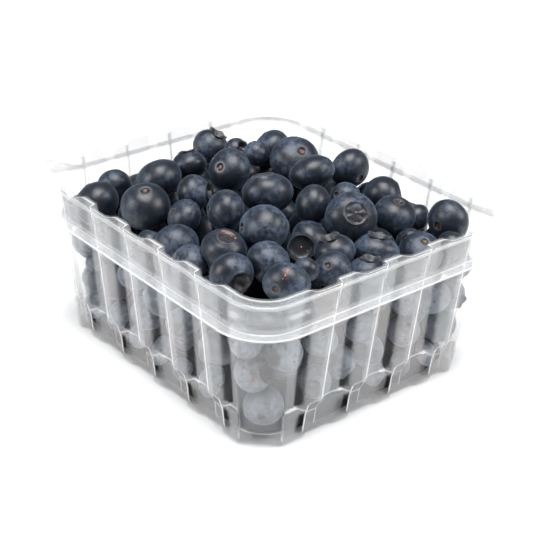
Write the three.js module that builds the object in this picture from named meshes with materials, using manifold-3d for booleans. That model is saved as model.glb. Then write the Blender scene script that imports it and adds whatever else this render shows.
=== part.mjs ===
// A punnet of blueberries: a clear thermoformed tray with ribbed walls, a skirted rim and two
// corner tabs, and the heap of berries that fills it up to a low dome above the rim.
// Millimetres, +Z up. The origin is the middle of the base. X runs along the short walls'
// direction and Y along the long one.

import * as THREE from 'three';
import { mergeVertices } from 'three/addons/utils/BufferGeometryUtils.js';
import Module from 'manifold-3d';

const wasm = await Module();
wasm.setup();

// ---------- driving dimensions ----------

const RIM_X = 106.5; // across the rim, outside
const RIM_Y = 121.5;
const HEIGHT = 54.5;
const SHEET = 0.6; // thickness of the plastic

const RIM_CORNER = 12.2; // radius of the rim's outer corners
const WALL_CORNER = 9.2; // radius of the walls' corners
const RIM_LAND = 2.3; // the rim's flat top, at its narrowest
const RIM_ROUND = 0.8;
const SKIRT_DROP = 7.8; // height of the skirt that hangs from the rim
const SKIRT_FLARE = 1.0; // how far the skirt leans out on the way down
const FLANGE = 3.3; // lip round the foot of the skirt
const BEAD = 1.1; // snap bead on the skirt, at the four corners
const BEAD_DROP = 4.2;
const BEAD_REACH = 20; // how far a bead runs along each side from its corner
// The lip is raised into a finger tab at two of the corners: its width and rise at each corner.
const CORNER_LIP = [3.3, 2.9, 3.3, 4.4];
const CORNER_RISE = [0, 2.6, 0, 4.4];
const FOOT_SHARE = 0.25; // how much of that rise the foot of the skirt follows
const TAB_REACH = 26; // how far a tab runs along each side from its corner

const PITCH = 17.5; // from one wall panel to the next
const FIRST_LINE_X = 14.4; // from a corner to the first panel, on the X walls
const FIRST_LINE_Y = 13.2;
const PANELS_X = 4;
const PANELS_Y = 5;
const RIB = 2.6; // how far the ribs between the panels stand in
const TAPER = 0.119; // the walls' lean, per millimetre of height

const LEDGE = 12.2; // height of the ledge above the feet
const LEDGE_FALL = 0.8; // half the height over which the wall changes its pattern there
const POCKET_LEDGE = 5.2; // the same ledge where the corner pockets run down past it
const CHAMFER = 3.4; // under a panel the wall slopes in over this height
const FOOT_INSET = 0.8; // the feet stand this far in from the panels' plane
const RECESS = 1.9; // and the recesses between them this far
const FOOT_ROUND = 1.5;
const FOOT_CORNER_CUT = 1.8; // the corner feet are drawn in by this much in their middle
const BULGE = 1.8; // the corners swell by this much
const BULGE_RISE = 25; // and are widest this far above their ledge

// One pitch of the walls' pattern. Each line lies at a share of the pitch, at the rim and from the
// ledge down, and says how much of a rib stands there above the ledge, how much of a recess lies
// below it, and whether the ledge slopes there.
const PATTERN = [
  { rim: 0.2, low: 0.26, rib: 1, recess: 1, sloping: false },
  { rim: 0.38, low: 0.47, rib: 1, recess: 0, sloping: false },
  { rim: 0.54, low: 0.7, rib: 0, recess: 0, sloping: true },
  { rim: 0.6, low: 0.75, rib: 0, recess: 1, sloping: true },
  { rim: 0.98, low: 0.98, rib: 0, recess: 1, sloping: true },
  { rim: 1.02, low: 1.02, rib: 1, recess: 1, sloping: true },
];

const ARC_STEPS = 4; // pieces of each rounded corner
const POCKET_STEP = 0.5; // from a rounded corner's end to the start of the straight wall

const GAP = 0.35; // clearance between the heap and the tray
const LAYERS = 5; // of lower berries, with this many rows each way
const ROWS_X = 7;
const ROWS_Y = 8;
const FIRST_LAYER = 6.6; // height of the lowest layer, and from one layer to the next
const LAYER_STEP = 9.4;
const MEAN_BERRY = 12.0;
const BERRY_SPREAD = 3.0;
const JITTER = 3.5;
const CROWDED = 0.75; // a berry is left out if it starts this near to one that has its place
const HIDDEN_TOP = 44; // no middle of a lower berry is above this
const WALL_DIP = 4.5; // and next to the walls they lie lower by this much
const CORNER_ROOM = 0.2;
const SETTLE_ROUNDS = 140;

const CORE_INSET = 3.0; // between the core and the ribs' planes
// The core's section: height, and how far it has drawn in from its own sides.
const CORE_SECTION = [
  [4.5, 1.5],
  [7, 0],
  [44, 0],
  [47.5, 5],
  [51, 14],
  [52.5, 26],
];
const CORE_CORNER = 7;
const CORE_ARC_STEPS = 3;
const WALL_REACH = 1.5; // berries this close to a wall show through it
const SHOWS_ABOVE = 39; // and those with their middle above this show from above

// ---------- the tray's outline ----------

// The sharp outer corners, anticlockwise from the front one, and the way along each side.
const CORNERS = [
  [-RIM_X / 2, -RIM_Y / 2],
  [RIM_X / 2, -RIM_Y / 2],
  [RIM_X / 2, RIM_Y / 2],
  [-RIM_X / 2, RIM_Y / 2],
];
const ALONG = [
  [1, 0],
  [0, 1],
  [-1, 0],
  [0, -1],
];
const SIDE_LENGTH = [RIM_X, RIM_Y, RIM_X, RIM_Y];

// Stations of one side. The foot next to the corner pocket has no recess before it.
function panelStations(firstLine, panels) {
  const stations = [];
  for (let k = 0; k < panels; k += 1) {
    const line = firstLine + k * PITCH;
    for (const { rim, low, ...shape } of k === 0 ? PATTERN.slice(1) : PATTERN) {
      stations.push({ at: line + rim * PITCH, lowAt: line + low * PITCH, ...shape });
    }
  }
  return stations;
}

// All stations round the tray. Sides 0 and 2 are measured from their start, 1 and 3 from their end.
function outlineStations() {
  const stations = [];
  for (let side = 0; side < 4; side += 1) {
    for (let i = 0; i <= ARC_STEPS; i += 1) {
      stations.push({ kind: 'arc', side, turn: i / ARC_STEPS, rib: 1, recess: 0 });
    }
    const alongX = side % 2 === 0;
    const panels = alongX
      ? panelStations(FIRST_LINE_X, PANELS_X)
      : panelStations(FIRST_LINE_Y, PANELS_Y);
    const length = SIDE_LENGTH[side];
    const placed = alongX
      ? panels
      : panels.map((p) => ({ ...p, at: length - p.at, lowAt: length - p.lowAt })).reverse();
    stations.push({ kind: 'afterArc', side, rib: 1, recess: 0 });
    for (const p of placed) {
      stations.push({ kind: 'wall', side, ...p });
    }
    stations.push({ kind: 'beforeArc', side, rib: 1, recess: 0 });
  }
  return stations;
}

const STATIONS = outlineStations();

// A station's point in plan, at an inset from the rim's outer sides, with the corner radius there.
function planPoint(station, inset, radius, low = false) {
  const [ax, ay] = ALONG[station.side];
  const [inX, inY] = [-ay, ax];
  const [cornerX, cornerY] = CORNERS[station.side];
  if (station.kind === 'arc') {
    const reach = inset + radius;
    const centreX = cornerX + (ax + inX) * reach;
    const centreY = cornerY + (ay + inY) * reach;
    const angle = (station.turn * Math.PI) / 2;
    const back = Math.cos(angle) * radius;
    const out = Math.sin(angle) * radius;
    return [centreX - ax * back - inX * out, centreY - ay * back - inY * out];
  }
  const length = SIDE_LENGTH[station.side];
  let at = low ? station.lowAt : station.at;
  if (station.kind === 'afterArc') {
    at = inset + radius + POCKET_STEP;
  }
  if (station.kind === 'beforeArc') {
    at = length - inset - radius - POCKET_STEP;
  }
  return [cornerX + ax * at + inX * inset, cornerY + ay * at + inY * inset];
}

// The corner nearest to a station, and how far along its side the station is from it.
function cornerReach(station) {
  const { side, kind } = station;
  const next = (side + 1) % 4;
  if (kind === 'arc') {
    return { corner: side, distance: 0 };
  }
  if (kind === 'afterArc') {
    return { corner: side, distance: RIM_CORNER };
  }
  if (kind === 'beforeArc') {
    return { corner: next, distance: RIM_CORNER };
  }
  const rest = SIDE_LENGTH[side] - station.at;
  return station.at < rest ? { corner: side, distance: station.at } : { corner: next, distance: rest };
}

function smooth(x) {
  const t = Math.min(Math.max(x, 0), 1);
  return t * t * (3 - 2 * t);
}

// A quantity that has its own value at each corner and a common one along the sides.
function cornerBlend(station, cornerValues, along) {
  const { corner, distance } = cornerReach(station);
  const share = smooth((TAB_REACH - distance) / (TAB_REACH - RIM_CORNER));
  return along + (cornerValues[corner] - along) * share;
}

function beadShare(station) {
  const { distance } = cornerReach(station);
  return distance < BEAD_REACH ? 1 : 0;
}

// ---------- rings: the outline at each level of the tray's section ----------

// Moves each point of a closed outline sideways, to the right of its run (outwards), mitred.
function shiftOutline(points, distance) {
  const n = points.length;
  const normals = points.map((p, i) => {
    const q = points[(i + 1) % n];
    const dx = q[0] - p[0];
    const dy = q[1] - p[1];
    const length = Math.hypot(dx, dy);
    return [dy / length, -dx / length];
  });
  return points.map((p, i) => {
    const a = normals[(i + n - 1) % n];
    const b = normals[i];
    const scale = distance / Math.max(1 + a[0] * b[0] + a[1] * b[1], 0.5);
    return [p[0] + (a[0] + b[0]) * scale, p[1] + (a[1] + b[1]) * scale];
  });
}

function ring(insetOf, radiusOf, heightOf, low) {
  const plan = STATIONS.map((s) => planPoint(s, insetOf(s), radiusOf(s), low));
  const heights = STATIONS.map(heightOf);
  return { plan, heights };
}

// Rings outside the wall keep the rim corner's centre, so their radius grows with their reach.
function rimRing(insetOf, heightOf) {
  return ring(insetOf, (s) => RIM_CORNER - insetOf(s), heightOf, false);
}

// The inner face of the wall: depth is how far in from the panels' plane it stands.
function wallInset(depth, z) {
  return RIM_LAND + depth + TAPER * (HEIGHT - z);
}

function wallRing(depthOf, heightOf, low = true, radius = WALL_CORNER) {
  return ring(
    (s) => wallInset(depthOf(s), heightOf(s)),
    () => radius,
    heightOf,
    low,
  );
}

function inArc(station) {
  return station.kind === 'arc';
}

// How near a station is to the middle of its corner's arc.
function arcShare(station) {
  return inArc(station) ? Math.sin(station.turn * Math.PI) : 0;
}

function highDepth(station) {
  return RIB * station.rib;
}

// Under the ledge feet stand out below the curved steps, with recesses between them.
function lowDepth(station) {
  const cut = FOOT_CORNER_CUT * arcShare(station);
  return FOOT_INSET + (RECESS - FOOT_INSET) * station.recess + cut;
}

function ledgeHeight(station) {
  return inArc(station) ? POCKET_LEDGE : LEDGE;
}

function ledgeFall(station) {
  return station.sloping ? CHAMFER : LEDGE_FALL;
}

function midLedgeDepth(station) {
  return (RIB * station.rib + FOOT_INSET + (RECESS - FOOT_INSET) * station.recess) / 2;
}

// The ledge faces down under a panel and up over a foot, so its back lies lower or higher.
function ledgeDrop(station) {
  return SHEET * (0.5 - station.rib);
}

// Each level holds the sheet's two faces: face is the rim's top and the cavity, back the other.
function trayLevels() {
  const skirtTop = HEIGHT - RIM_ROUND;
  const tip = rimRing(
    (s) => -SKIRT_FLARE - cornerBlend(s, CORNER_LIP, FLANGE),
    (s) => HEIGHT - SKIRT_DROP + cornerBlend(s, CORNER_RISE, 0),
  );
  const foot = rimRing(
    () => -SKIRT_FLARE,
    (s) => HEIGHT - SKIRT_DROP + FOOT_SHARE * cornerBlend(s, CORNER_RISE, 0),
  );
  const bead = rimRing((s) => -SKIRT_FLARE / 2 - BEAD * beadShare(s), () => HEIGHT - BEAD_DROP);
  const top = rimRing(() => 0, () => skirtTop);
  const land = rimRing(() => RIM_ROUND, () => HEIGHT);
  const edge = wallRing(highDepth, () => HEIGHT, false);
  const aboveLedge = wallRing(
    (s) => highDepth(s) - BULGE * arcShare(s),
    (s) => ledgeHeight(s) + LEDGE_FALL + BULGE_RISE * arcShare(s),
  );
  const midLedge = wallRing(
    midLedgeDepth,
    (s) => ledgeHeight(s) + (LEDGE_FALL - ledgeFall(s)) / 2,
  );
  const belowLedge = wallRing(lowDepth, (s) => ledgeHeight(s) - ledgeFall(s));
  const aboveFloor = wallRing(lowDepth, () => FOOT_ROUND + SHEET);
  const floor = wallRing(
    (s) => lowDepth(s) + FOOT_ROUND,
    () => SHEET,
    true,
    WALL_CORNER - FOOT_ROUND,
  );
  return [
    { face: tip, shift: 0, drop: SHEET },
    { face: foot, shift: -SHEET, drop: SHEET },
    { face: bead, shift: -SHEET, drop: 0 },
    { face: top, shift: -SHEET, drop: 0 },
    { face: land, shift: -SHEET / 2, drop: SHEET },
    { face: edge, shift: SHEET, drop: SHEET },
    { face: aboveLedge, shift: SHEET, drop: ledgeDrop },
    { face: midLedge, shift: SHEET, drop: ledgeDrop },
    { face: belowLedge, shift: SHEET, drop: ledgeDrop },
    { face: aboveFloor, shift: SHEET, drop: 0 },
    { face: floor, shift: SHEET / 2, drop: SHEET },
  ];
}

function levelPoints(level, onBack) {
  const { plan, heights } = level.face;
  const shifted = onBack && level.shift !== 0 ? shiftOutline(plan, level.shift) : plan;
  const dropOf = typeof level.drop === 'function' ? level.drop : () => level.drop;
  return shifted.map(([x, y], i) => [x, y, heights[i] - (onBack ? dropOf(STATIONS[i]) : 0)]);
}

// ---------- meshes ----------

function geometryFrom(vertices, triangles) {
  const geometry = new THREE.BufferGeometry();
  geometry.setAttribute('position', new THREE.Float32BufferAttribute(vertices.flat(), 3));
  geometry.setIndex(triangles.flat());
  return geometry;
}

// Joins rings of equal length by bands of triangles, the later ring on the left of the earlier.
function band(triangles, first, second, count, flipped) {
  for (let i = 0; i < count; i += 1) {
    const j = (i + 1) % count;
    const quad = [
      [first + i, first + j, second + j],
      [first + i, second + j, second + i],
    ];
    for (const [a, b, c] of quad) {
      triangles.push(flipped ? [a, c, b] : [a, b, c]);
    }
  }
}

function fan(triangles, first, centre, count, flipped) {
  for (let i = 0; i < count; i += 1) {
    const j = (i + 1) % count;
    triangles.push(flipped ? [first + i, centre, first + j] : [first + i, first + j, centre]);
  }
}

function trayGeometry() {
  const levels = trayLevels();
  const count = STATIONS.length;
  const vertices = [];
  const triangles = [];
  for (const onBack of [false, true]) {
    const start = vertices.length;
    for (const level of levels) {
      vertices.push(...levelPoints(level, onBack));
    }
    for (let k = 0; k + 1 < levels.length; k += 1) {
      band(triangles, start + k * count, start + (k + 1) * count, count, onBack);
    }
    vertices.push([0, 0, onBack ? 0 : SHEET]);
    fan(triangles, start + (levels.length - 1) * count, vertices.length - 1, count, onBack);
  }
  band(triangles, levels.length * count + 1, 0, count, false);
  return geometryFrom(vertices, triangles);
}

// ---------- the berries ----------

// The berries on top of the heap: x, y, height of the middle above the rim, and diameter.
const TOP_BERRIES = [
  [7.5, -30.5, 0, 15.1],
  [-35, 16.5, -2.5, 15.2],
  [-3.5, 15, 2, 13.4],
  [-5.5, -6.5, 2.5, 15.3],
  [-20.5, -23, 1.5, 15.2],
  [20.5, 11, 0.5, 15.7],
  [16, -2.5, 2.5, 13.6],
  [35, 0, -2, 13.1],
  [3, -18, 1, 11.9],
  [26, -30.5, -4.5, 13],
  [37.5, -42.5, -5, 13],
  [32, -19, -4, 13],
  [-21, -5.5, 0.5, 12.4],
  [-29.5, 4, -3, 10.9],
  [-21, 10.5, 0.5, 11.1],
  [-23.5, 25.5, 0, 14.5],
  [-29.5, 41.5, -6.5, 11.3],
  [-41, 36, -7.5, 14.2],
  [-9, 29, 0, 11],
  [9.5, 42, -2.5, 12.1],
  [11, 29.5, 0, 8.3],
  [12.5, 21, 1.5, 8.8],
  [22.5, 25, -0.5, 12.7],
  [-34, -21.5, -2, 12.7],
  [-28, -34.5, -2.5, 12.8],
  [-40.5, -33.5, -3, 12.4],
  [-33.5, -50, -1.5, 12.7],
  [-38, -3.5, -6.5, 13.4],
  [-43, -15, -7, 11.3],
  [-13, -31, -4, 9.7],
  [-7.5, -40, -3, 11.7],
  [6.5, -43, -5.5, 12.2],
  [-15.5, -48, -3, 10.8],
  [-2.5, -50, -7, 10.7],
  [20.5, -49.5, -8.5, 12.9],
  [14, -20.5, 1, 9.6],
  [35.5, -31, -8, 8.8],
  [-24, -46.5, -1, 7.3],
  [-40.5, 6.5, -9, 7.9],
  [24.5, -39.5, -10, 8.6],
  [32, -51.5, -8.5, 9.1],
  [-4, -25.5, -6.5, 12.4],
];

// Berries that lie against the near walls: x, y, height of the middle, and diameter.
const WALL_BERRIES = [
  [-36.5, -44.5, 11, 12],
  [-38, -41, 22, 11.5],
  [-31.5, -47, 29.5, 11.1],
  [-40, -39.5, 33, 11.4],
  [-38.5, -25, 22.5, 11.2],
  [-37, -23, 9, 10.9],
  [-18, -47, 28.5, 10.5],
  [-18, -45.5, 13.5, 10.1],
  [-8, -45, 16.5, 10.8],
  [-1.5, -47, 27.5, 10.2],
  [2.5, -46, 17.5, 10.3],
  [16, -47.5, 31, 10],
  [18, -46, 19, 10.2],
  [29.5, -47, 27, 10.9],
  [38, -45.5, 25, 10.6],
  [-38, 29, 21.5, 12.2],
  [-38, 11, 18, 11.3],
  [-39, -8.5, 24, 10.9],
];

// A small repeatable random draw from 0 to 1.
let drawState = 20;
function draw() {
  drawState = (Math.imul(drawState, 1664525) + 1013904223) >>> 0;
  return drawState / 4294967296;
}

// Keeps a berry inside the ribs' planes, the rounded corners and the floor.
function keepInside(berry) {
  const inset = wallInset(RIB, Math.min(berry.z, HEIGHT)) + GAP;
  const halfX = RIM_X / 2 - inset;
  const halfY = RIM_Y / 2 - inset;
  const corner = Math.max(WALL_CORNER, berry.r + CORNER_ROOM);
  const limitX = halfX - corner;
  const limitY = halfY - corner;
  berry.z = Math.max(berry.z, SHEET + GAP + berry.r);
  if (!berry.top) {
    const out = Math.max(Math.abs(berry.x) / halfX, Math.abs(berry.y) / halfY);
    berry.z = Math.min(berry.z, HIDDEN_TOP - WALL_DIP * out * out * out * out);
  }
  const overX = Math.abs(berry.x) - limitX;
  const overY = Math.abs(berry.y) - limitY;
  const slack = corner - berry.r;
  if (overX > 0 && overY > 0) {
    const over = Math.hypot(overX, overY);
    if (over > slack) {
      berry.x = Math.sign(berry.x) * (limitX + (overX * slack) / over);
      berry.y = Math.sign(berry.y) * (limitY + (overY * slack) / over);
    }
  } else {
    berry.x = Math.sign(berry.x) * Math.min(Math.abs(berry.x), limitX + slack);
    berry.y = Math.sign(berry.y) * Math.min(Math.abs(berry.y), limitY + slack);
  }
}

function isCrowded(a, b) {
  const distance = Math.hypot(a.x - b.x, a.y - b.y, a.z - b.z);
  return distance < CROWDED * (a.r + b.r);
}

function startingBerries() {
  const berries = [];
  for (const [x, y, rise, across] of TOP_BERRIES) {
    berries.push({ x, y, z: HEIGHT + rise, r: across / 2, fixed: true, top: true });
  }
  for (const [x, y, z, across] of WALL_BERRIES) {
    berries.push({ x, y, z, r: across / 2, fixed: true, top: false });
  }
  berries.forEach(keepInside);
  const fixedCount = berries.length;
  for (let layer = 0; layer < LAYERS; layer += 1) {
    const z = FIRST_LAYER + layer * LAYER_STEP;
    const inset = wallInset(RIB, z) + MEAN_BERRY / 2;
    const stepX = (RIM_X - 2 * inset) / (ROWS_X - 1);
    const stepY = (RIM_Y - 2 * inset) / (ROWS_Y - 1);
    const shift = layer % 2 === 0 ? 0 : 0.5;
    for (let i = 0; i < ROWS_X; i += 1) {
      for (let j = 0; j < ROWS_Y; j += 1) {
        const berry = {
          x: (i + shift) * stepX - RIM_X / 2 + inset + JITTER * (draw() - 0.5),
          y: (j + shift) * stepY - RIM_Y / 2 + inset + JITTER * (draw() - 0.5),
          z: z + JITTER * (draw() - 0.5),
          r: (MEAN_BERRY + BERRY_SPREAD * (draw() + draw() - 1)) / 2,
          fixed: false,
          top: false,
        };
        const crowded = berries.slice(0, fixedCount).some((other) => isCrowded(berry, other));
        if (!crowded) {
          berries.push(berry);
        }
      }
    }
  }
  return berries;
}

// Pushes overlapping berries apart, again and again, while the lower ones sink.
function settledBerries() {
  const berries = startingBerries();
  for (let round = 0; round < SETTLE_ROUNDS; round += 1) {
    for (let i = 0; i < berries.length; i += 1) {
      const a = berries[i];
      for (let j = i + 1; j < berries.length; j += 1) {
        const b = berries[j];
        const dx = b.x - a.x;
        const dy = b.y - a.y;
        const dz = b.z - a.z;
        const touch = a.r + b.r;
        const square = dx * dx + dy * dy + dz * dz;
        if (square < touch * touch && !(a.fixed && b.fixed)) {
          const distance = Math.sqrt(square);
          const push = (touch - distance) / distance;
          const shareA = a.fixed ? 0 : b.fixed ? 1 : 0.5;
          a.x -= dx * push * shareA;
          a.y -= dy * push * shareA;
          a.z -= dz * push * shareA;
          b.x += dx * push * (1 - shareA);
          b.y += dy * push * (1 - shareA);
          b.z += dz * push * (1 - shareA);
        }
      }
      if (!a.fixed) {
        keepInside(a);
      }
    }
  }
  return berries;
}

// ---------- the heap: a core with the outer berries fused on ----------

function coreRing(z, drawnIn) {
  const inset = wallInset(RIB, z) + CORE_INSET + drawnIn;
  const points = [];
  for (let side = 0; side < 4; side += 1) {
    for (let i = 0; i <= CORE_ARC_STEPS; i += 1) {
      const station = { kind: 'arc', side, turn: i / CORE_ARC_STEPS };
      const [x, y] = planPoint(station, inset, CORE_CORNER);
      points.push([x, y, z]);
    }
  }
  return points;
}

function coreGeometry() {
  const vertices = [];
  const triangles = [];
  const count = 4 * (CORE_ARC_STEPS + 1);
  CORE_SECTION.forEach(([z, drawnIn], k) => {
    vertices.push(...coreRing(z, drawnIn));
    if (k > 0) {
      band(triangles, (k - 1) * count, k * count, count, false);
    }
  });
  const levels = CORE_SECTION.length;
  vertices.push([0, 0, CORE_SECTION[levels - 1][0]], [0, 0, CORE_SECTION[0][0]]);
  fan(triangles, (levels - 1) * count, levels * count, count, false);
  fan(triangles, 0, levels * count + 1, count, true);
  return geometryFrom(vertices, triangles);
}

// Berries on top are rounder than the ones that only show through the walls.
function berryGeometry(berry, index) {
  const geometry = berry.top
    ? new THREE.IcosahedronGeometry(berry.r, 1)
    : new THREE.OctahedronGeometry(berry.r, 1);
  geometry.rotateX(index);
  geometry.rotateZ(2 * index);
  geometry.translate(berry.x, berry.y, berry.z);
  return geometry;
}

function toSolid(geometry) {
  geometry.deleteAttribute('normal');
  geometry.deleteAttribute('uv');
  const merged = mergeVertices(geometry, 1e-4);
  const mesh = new wasm.Mesh({
    numProp: 3,
    vertProperties: new Float32Array(merged.attributes.position.array),
    triVerts: new Uint32Array(merged.index.array),
  });
  return new wasm.Manifold(mesh);
}

function toGeometry(solid) {
  const mesh = solid.getMesh();
  const geometry = new THREE.BufferGeometry();
  geometry.setAttribute('position', new THREE.BufferAttribute(mesh.vertProperties, 3));
  geometry.setIndex(new THREE.BufferAttribute(mesh.triVerts, 1));
  return geometry;
}

function showsThroughWall(berry) {
  const inset = wallInset(RIB, Math.min(berry.z, HEIGHT)) + GAP;
  const toX = RIM_X / 2 - inset - Math.abs(berry.x) - berry.r;
  const toY = RIM_Y / 2 - inset - Math.abs(berry.y) - berry.r;
  return Math.min(toX, toY) < WALL_REACH;
}

// Hollows that the fusing sealed are filled: only the outer shell of the largest body is kept.
function heapGeometry() {
  let heap = toSolid(coreGeometry());
  settledBerries().forEach((berry, index) => {
    if (berry.top || berry.z > SHOWS_ABOVE || showsThroughWall(berry)) {
      heap = heap.add(toSolid(berryGeometry(berry, index)));
    }
  });
  const shells = heap.decompose();
  shells.sort((a, b) => b.volume() - a.volume());
  return toGeometry(shells[0]);
}

// ---------- the two pieces ----------

const punnet = new THREE.Mesh(
  trayGeometry(),
  new THREE.MeshStandardMaterial({ color: 0xe4e8ea, roughness: 0.25, metalness: 0 }),
);
punnet.name = 'punnet';

const blueberries = new THREE.Mesh(
  heapGeometry(),
  new THREE.MeshStandardMaterial({ color: 0x2e3850, roughness: 0.55, metalness: 0 }),
);
blueberries.name = 'blueberries';

const group = new THREE.Group();
group.add(punnet, blueberries);

export default group;
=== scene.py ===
# %% [markdown]
# # A punnet of blueberries
#
# A clear plastic tray is filled with blueberries until they stand in a low dome above its rim.
# The lesson starts with the frame: two plain solids, `punnet` and `blueberries`, that say how
# large everything is and where it stands. Each of them is replaced by a finished model of its
# own. The box round both solids is kept, so that the finished model can be measured against it.

# %% The frame
import math

import bmesh
import bpy
from mathutils import Matrix, Vector, noise


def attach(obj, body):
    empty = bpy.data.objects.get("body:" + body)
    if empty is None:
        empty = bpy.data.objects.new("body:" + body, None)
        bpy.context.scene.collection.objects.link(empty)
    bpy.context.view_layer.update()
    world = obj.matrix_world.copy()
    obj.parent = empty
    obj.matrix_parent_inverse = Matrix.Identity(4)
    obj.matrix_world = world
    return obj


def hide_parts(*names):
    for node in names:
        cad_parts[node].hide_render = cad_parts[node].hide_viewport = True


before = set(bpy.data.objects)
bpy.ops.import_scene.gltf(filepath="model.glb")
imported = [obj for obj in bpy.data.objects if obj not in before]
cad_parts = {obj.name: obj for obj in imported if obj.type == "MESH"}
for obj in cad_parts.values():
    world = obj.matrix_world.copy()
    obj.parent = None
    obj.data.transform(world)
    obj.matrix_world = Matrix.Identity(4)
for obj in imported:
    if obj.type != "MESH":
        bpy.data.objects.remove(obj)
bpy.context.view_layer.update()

MM = 0.001  # one millimetre, in Blender's metres

# %% [markdown]
# ## The camera
#
# Product shots of small things are taken from a step away with a long lens, so that a tray's
# parallel sides stay nearly parallel. The camera could aim at the tray with a Track To
# constraint, but then it could not be rolled by the small angle that a hand-held camera has.
# Here its three axes are worked out instead, and set as one matrix.

# %% Camera
CAMERA_PLACE = Vector((-258.967, -306.365, 238.914)) * MM
CAMERA_LOOKS = Vector((0.5730, 0.6719, -0.4693)).normalized()
CAMERA_ROLL = math.radians(2.006)
CAMERA_LENS = 93.81  # millimetres, on a sensor 36 mm wide


def camera_axes():
    """The directions that point right, up and towards the eye in the finished picture."""
    towards = -CAMERA_LOOKS
    level = Vector((0, 0, 1)).cross(towards).normalized()
    upright = towards.cross(level)
    turn = Matrix.Rotation(CAMERA_ROLL, 3, towards)
    return turn @ level, turn @ upright, towards


EYE_RIGHT, EYE_UP, EYE_TOWARDS = camera_axes()
camera_data = bpy.data.cameras.new("camera")
camera_data.lens = CAMERA_LENS
camera_data.clip_start = 0.01
camera = bpy.data.objects.new("camera", camera_data)
bpy.context.scene.collection.objects.link(camera)
axes = Matrix((EYE_RIGHT, EYE_UP, EYE_TOWARDS)).transposed().to_4x4()
camera.matrix_world = Matrix.Translation(CAMERA_PLACE) @ axes
bpy.context.scene.camera = camera
print("camera at", [round(v / MM) for v in camera.location], "mm")

# %% [markdown]
# ## The stage
#
# Clear plastic only shows what stands round it. On a white table in a white room its walls go
# pale and its edges draw themselves as thin lines. So the floor is a large white plane, the
# world is white, and three large soft lamps give the berries their broad, dull highlights. The
# Standard view is used, because it keeps white things white.

# %% Floor, world and lamps
FLOOR_SIZE = 6.0
FLOOR_FINISH = {"Base Color": (0.93, 0.93, 0.93, 1), "Roughness": 0.9, "Specular IOR Level": 0.0}
WORLD_COLOUR = (0.94, 0.97, 1.0, 1)
WORLD_STRENGTH = 0.22
LAMP_TARGET = Vector((0, 0, 0.03))  # all three shine at the middle of the heap
# Each lamp: name, place and side length in metres, and power in watts.
LAMPS = [
    ("left", (-0.95, 0.38, 0.5), 0.5, 6.3),
    ("right", (0.58, -0.75, 0.68), 0.5, 7.0),
    ("top", (-0.1, -0.1, 1.2), 0.8, 21.5),
]


def deselect_all():
    """Nothing is selected and Blender is in object mode, so the next operator starts clean."""
    if bpy.context.object and bpy.context.object.mode != "OBJECT":
        bpy.ops.object.mode_set(mode="OBJECT")
    bpy.ops.object.select_all(action="DESELECT")


def lamp(name, place, size, power):
    """A square soft lamp at a place, turned towards the heap."""
    deselect_all()
    bpy.ops.object.light_add(type="AREA", location=place)
    made = bpy.context.object
    made.name = name
    made.data.shape = "SQUARE"
    made.data.size = size
    made.data.energy = power
    made.rotation_euler = (LAMP_TARGET - Vector(place)).to_track_quat("-Z", "Y").to_euler()


def new_material(name):
    """A new material and its Principled shader node."""
    material = bpy.data.materials.new(name)
    material.use_nodes = True
    return material, material.node_tree.nodes["Principled BSDF"]


def set_inputs(node, inputs):
    """Gives inputs their values, or links them where the value is another node's output."""
    for name, value in inputs.items():
        if isinstance(value, bpy.types.NodeSocket):
            node.id_data.links.new(value, node.inputs[name])
        else:
            node.inputs[name].default_value = value


deselect_all()
bpy.ops.mesh.primitive_plane_add(size=FLOOR_SIZE, location=(0, 0, 0))
floor = bpy.context.object
floor.name = "floor"
floor_white, shader = new_material("floor_white")
set_inputs(shader, FLOOR_FINISH)
floor.data.materials.append(floor_white)

world = bpy.data.worlds.new("white_room")
world.use_nodes = True
sky = world.node_tree.nodes["Background"]
set_inputs(sky, {"Color": WORLD_COLOUR, "Strength": WORLD_STRENGTH})
bpy.context.scene.world = world
for row in LAMPS:
    lamp(*row)
bpy.context.scene.view_settings.view_transform = "Standard"
print("lamps:", [row[0] for row in LAMPS])

# %% [markdown]
# ## The tray
#
# The tray is one sheet of clear plastic, drawn down hot into a mould. Its rim has a flat top, a
# skirt that hangs down and a lip round the skirt's foot, which rises into a finger tab at two of
# the corners. Its walls are ribbed: between flat panels the sheet steps in, sharply on one side
# and in a soft curve on the other. At the foot the pattern changes over a ledge, where feet and
# recesses take turns.
#
# A tray could be modelled from a box with inset and extruded panels, but every rib would have to
# be blended into the rim and the ledge by hand. It is easier to see the sheet as one closed
# outline that changes its shape on the way down. So the start is a circle with one vertex for
# each station of the outline, and it is extruded level by level, with each new ring laid on its
# own line.

# %% The tray's sizes, in millimetres
RIM_X = 106.5  # across the rim, outside
RIM_Y = 121.5
HEIGHT = 54.5
SHEET = 0.5

RIM_CORNER = 12.2  # radius of the rim's outer corners
WALL_CORNER = 9.2  # and of the walls' corners
RIM_LAND = 2.3  # the rim's flat top, at its narrowest
SKIRT_DROP = 7.8  # how far the skirt hangs down,
SKIRT_FLARE = 1.0  # and stands out at its foot
FLANGE = 3.3  # width of the lip along the walls
BEAD = 1.1  # how far the snap beads stand out of the skirt, near the four corners
BEAD_DROP = 4.2  # from the rim's top to the middle of a bead
BEAD_HALF = 1.5  # half its height
BEAD_REACH = 20  # how far from the corner a bead runs
BEAD_FADE = 1.6
CORNER_LIP = [3.3, 2.9, 3.3, 4.4]  # the lip's width at each corner,
CORNER_RISE = [0, 2.6, 0, 4.4]  # and how far it rises there into a finger tab
FOOT_SHARE = 0.25  # how much of a tab's rise the skirt's foot takes part in
TAB_REACH = 26  # how far from the corner a tab runs

PITCH = 17.5  # from one rib to the next
FIRST_LINE = [14.4, 13.2]  # from a corner to the first panel, on the X and the Y walls
PANELS = [4, 5]  # pitches on these walls
RIB = 2.6  # how far the ribs step in
TAPER = 0.119  # how much the walls lean in for each millimetre down

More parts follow.
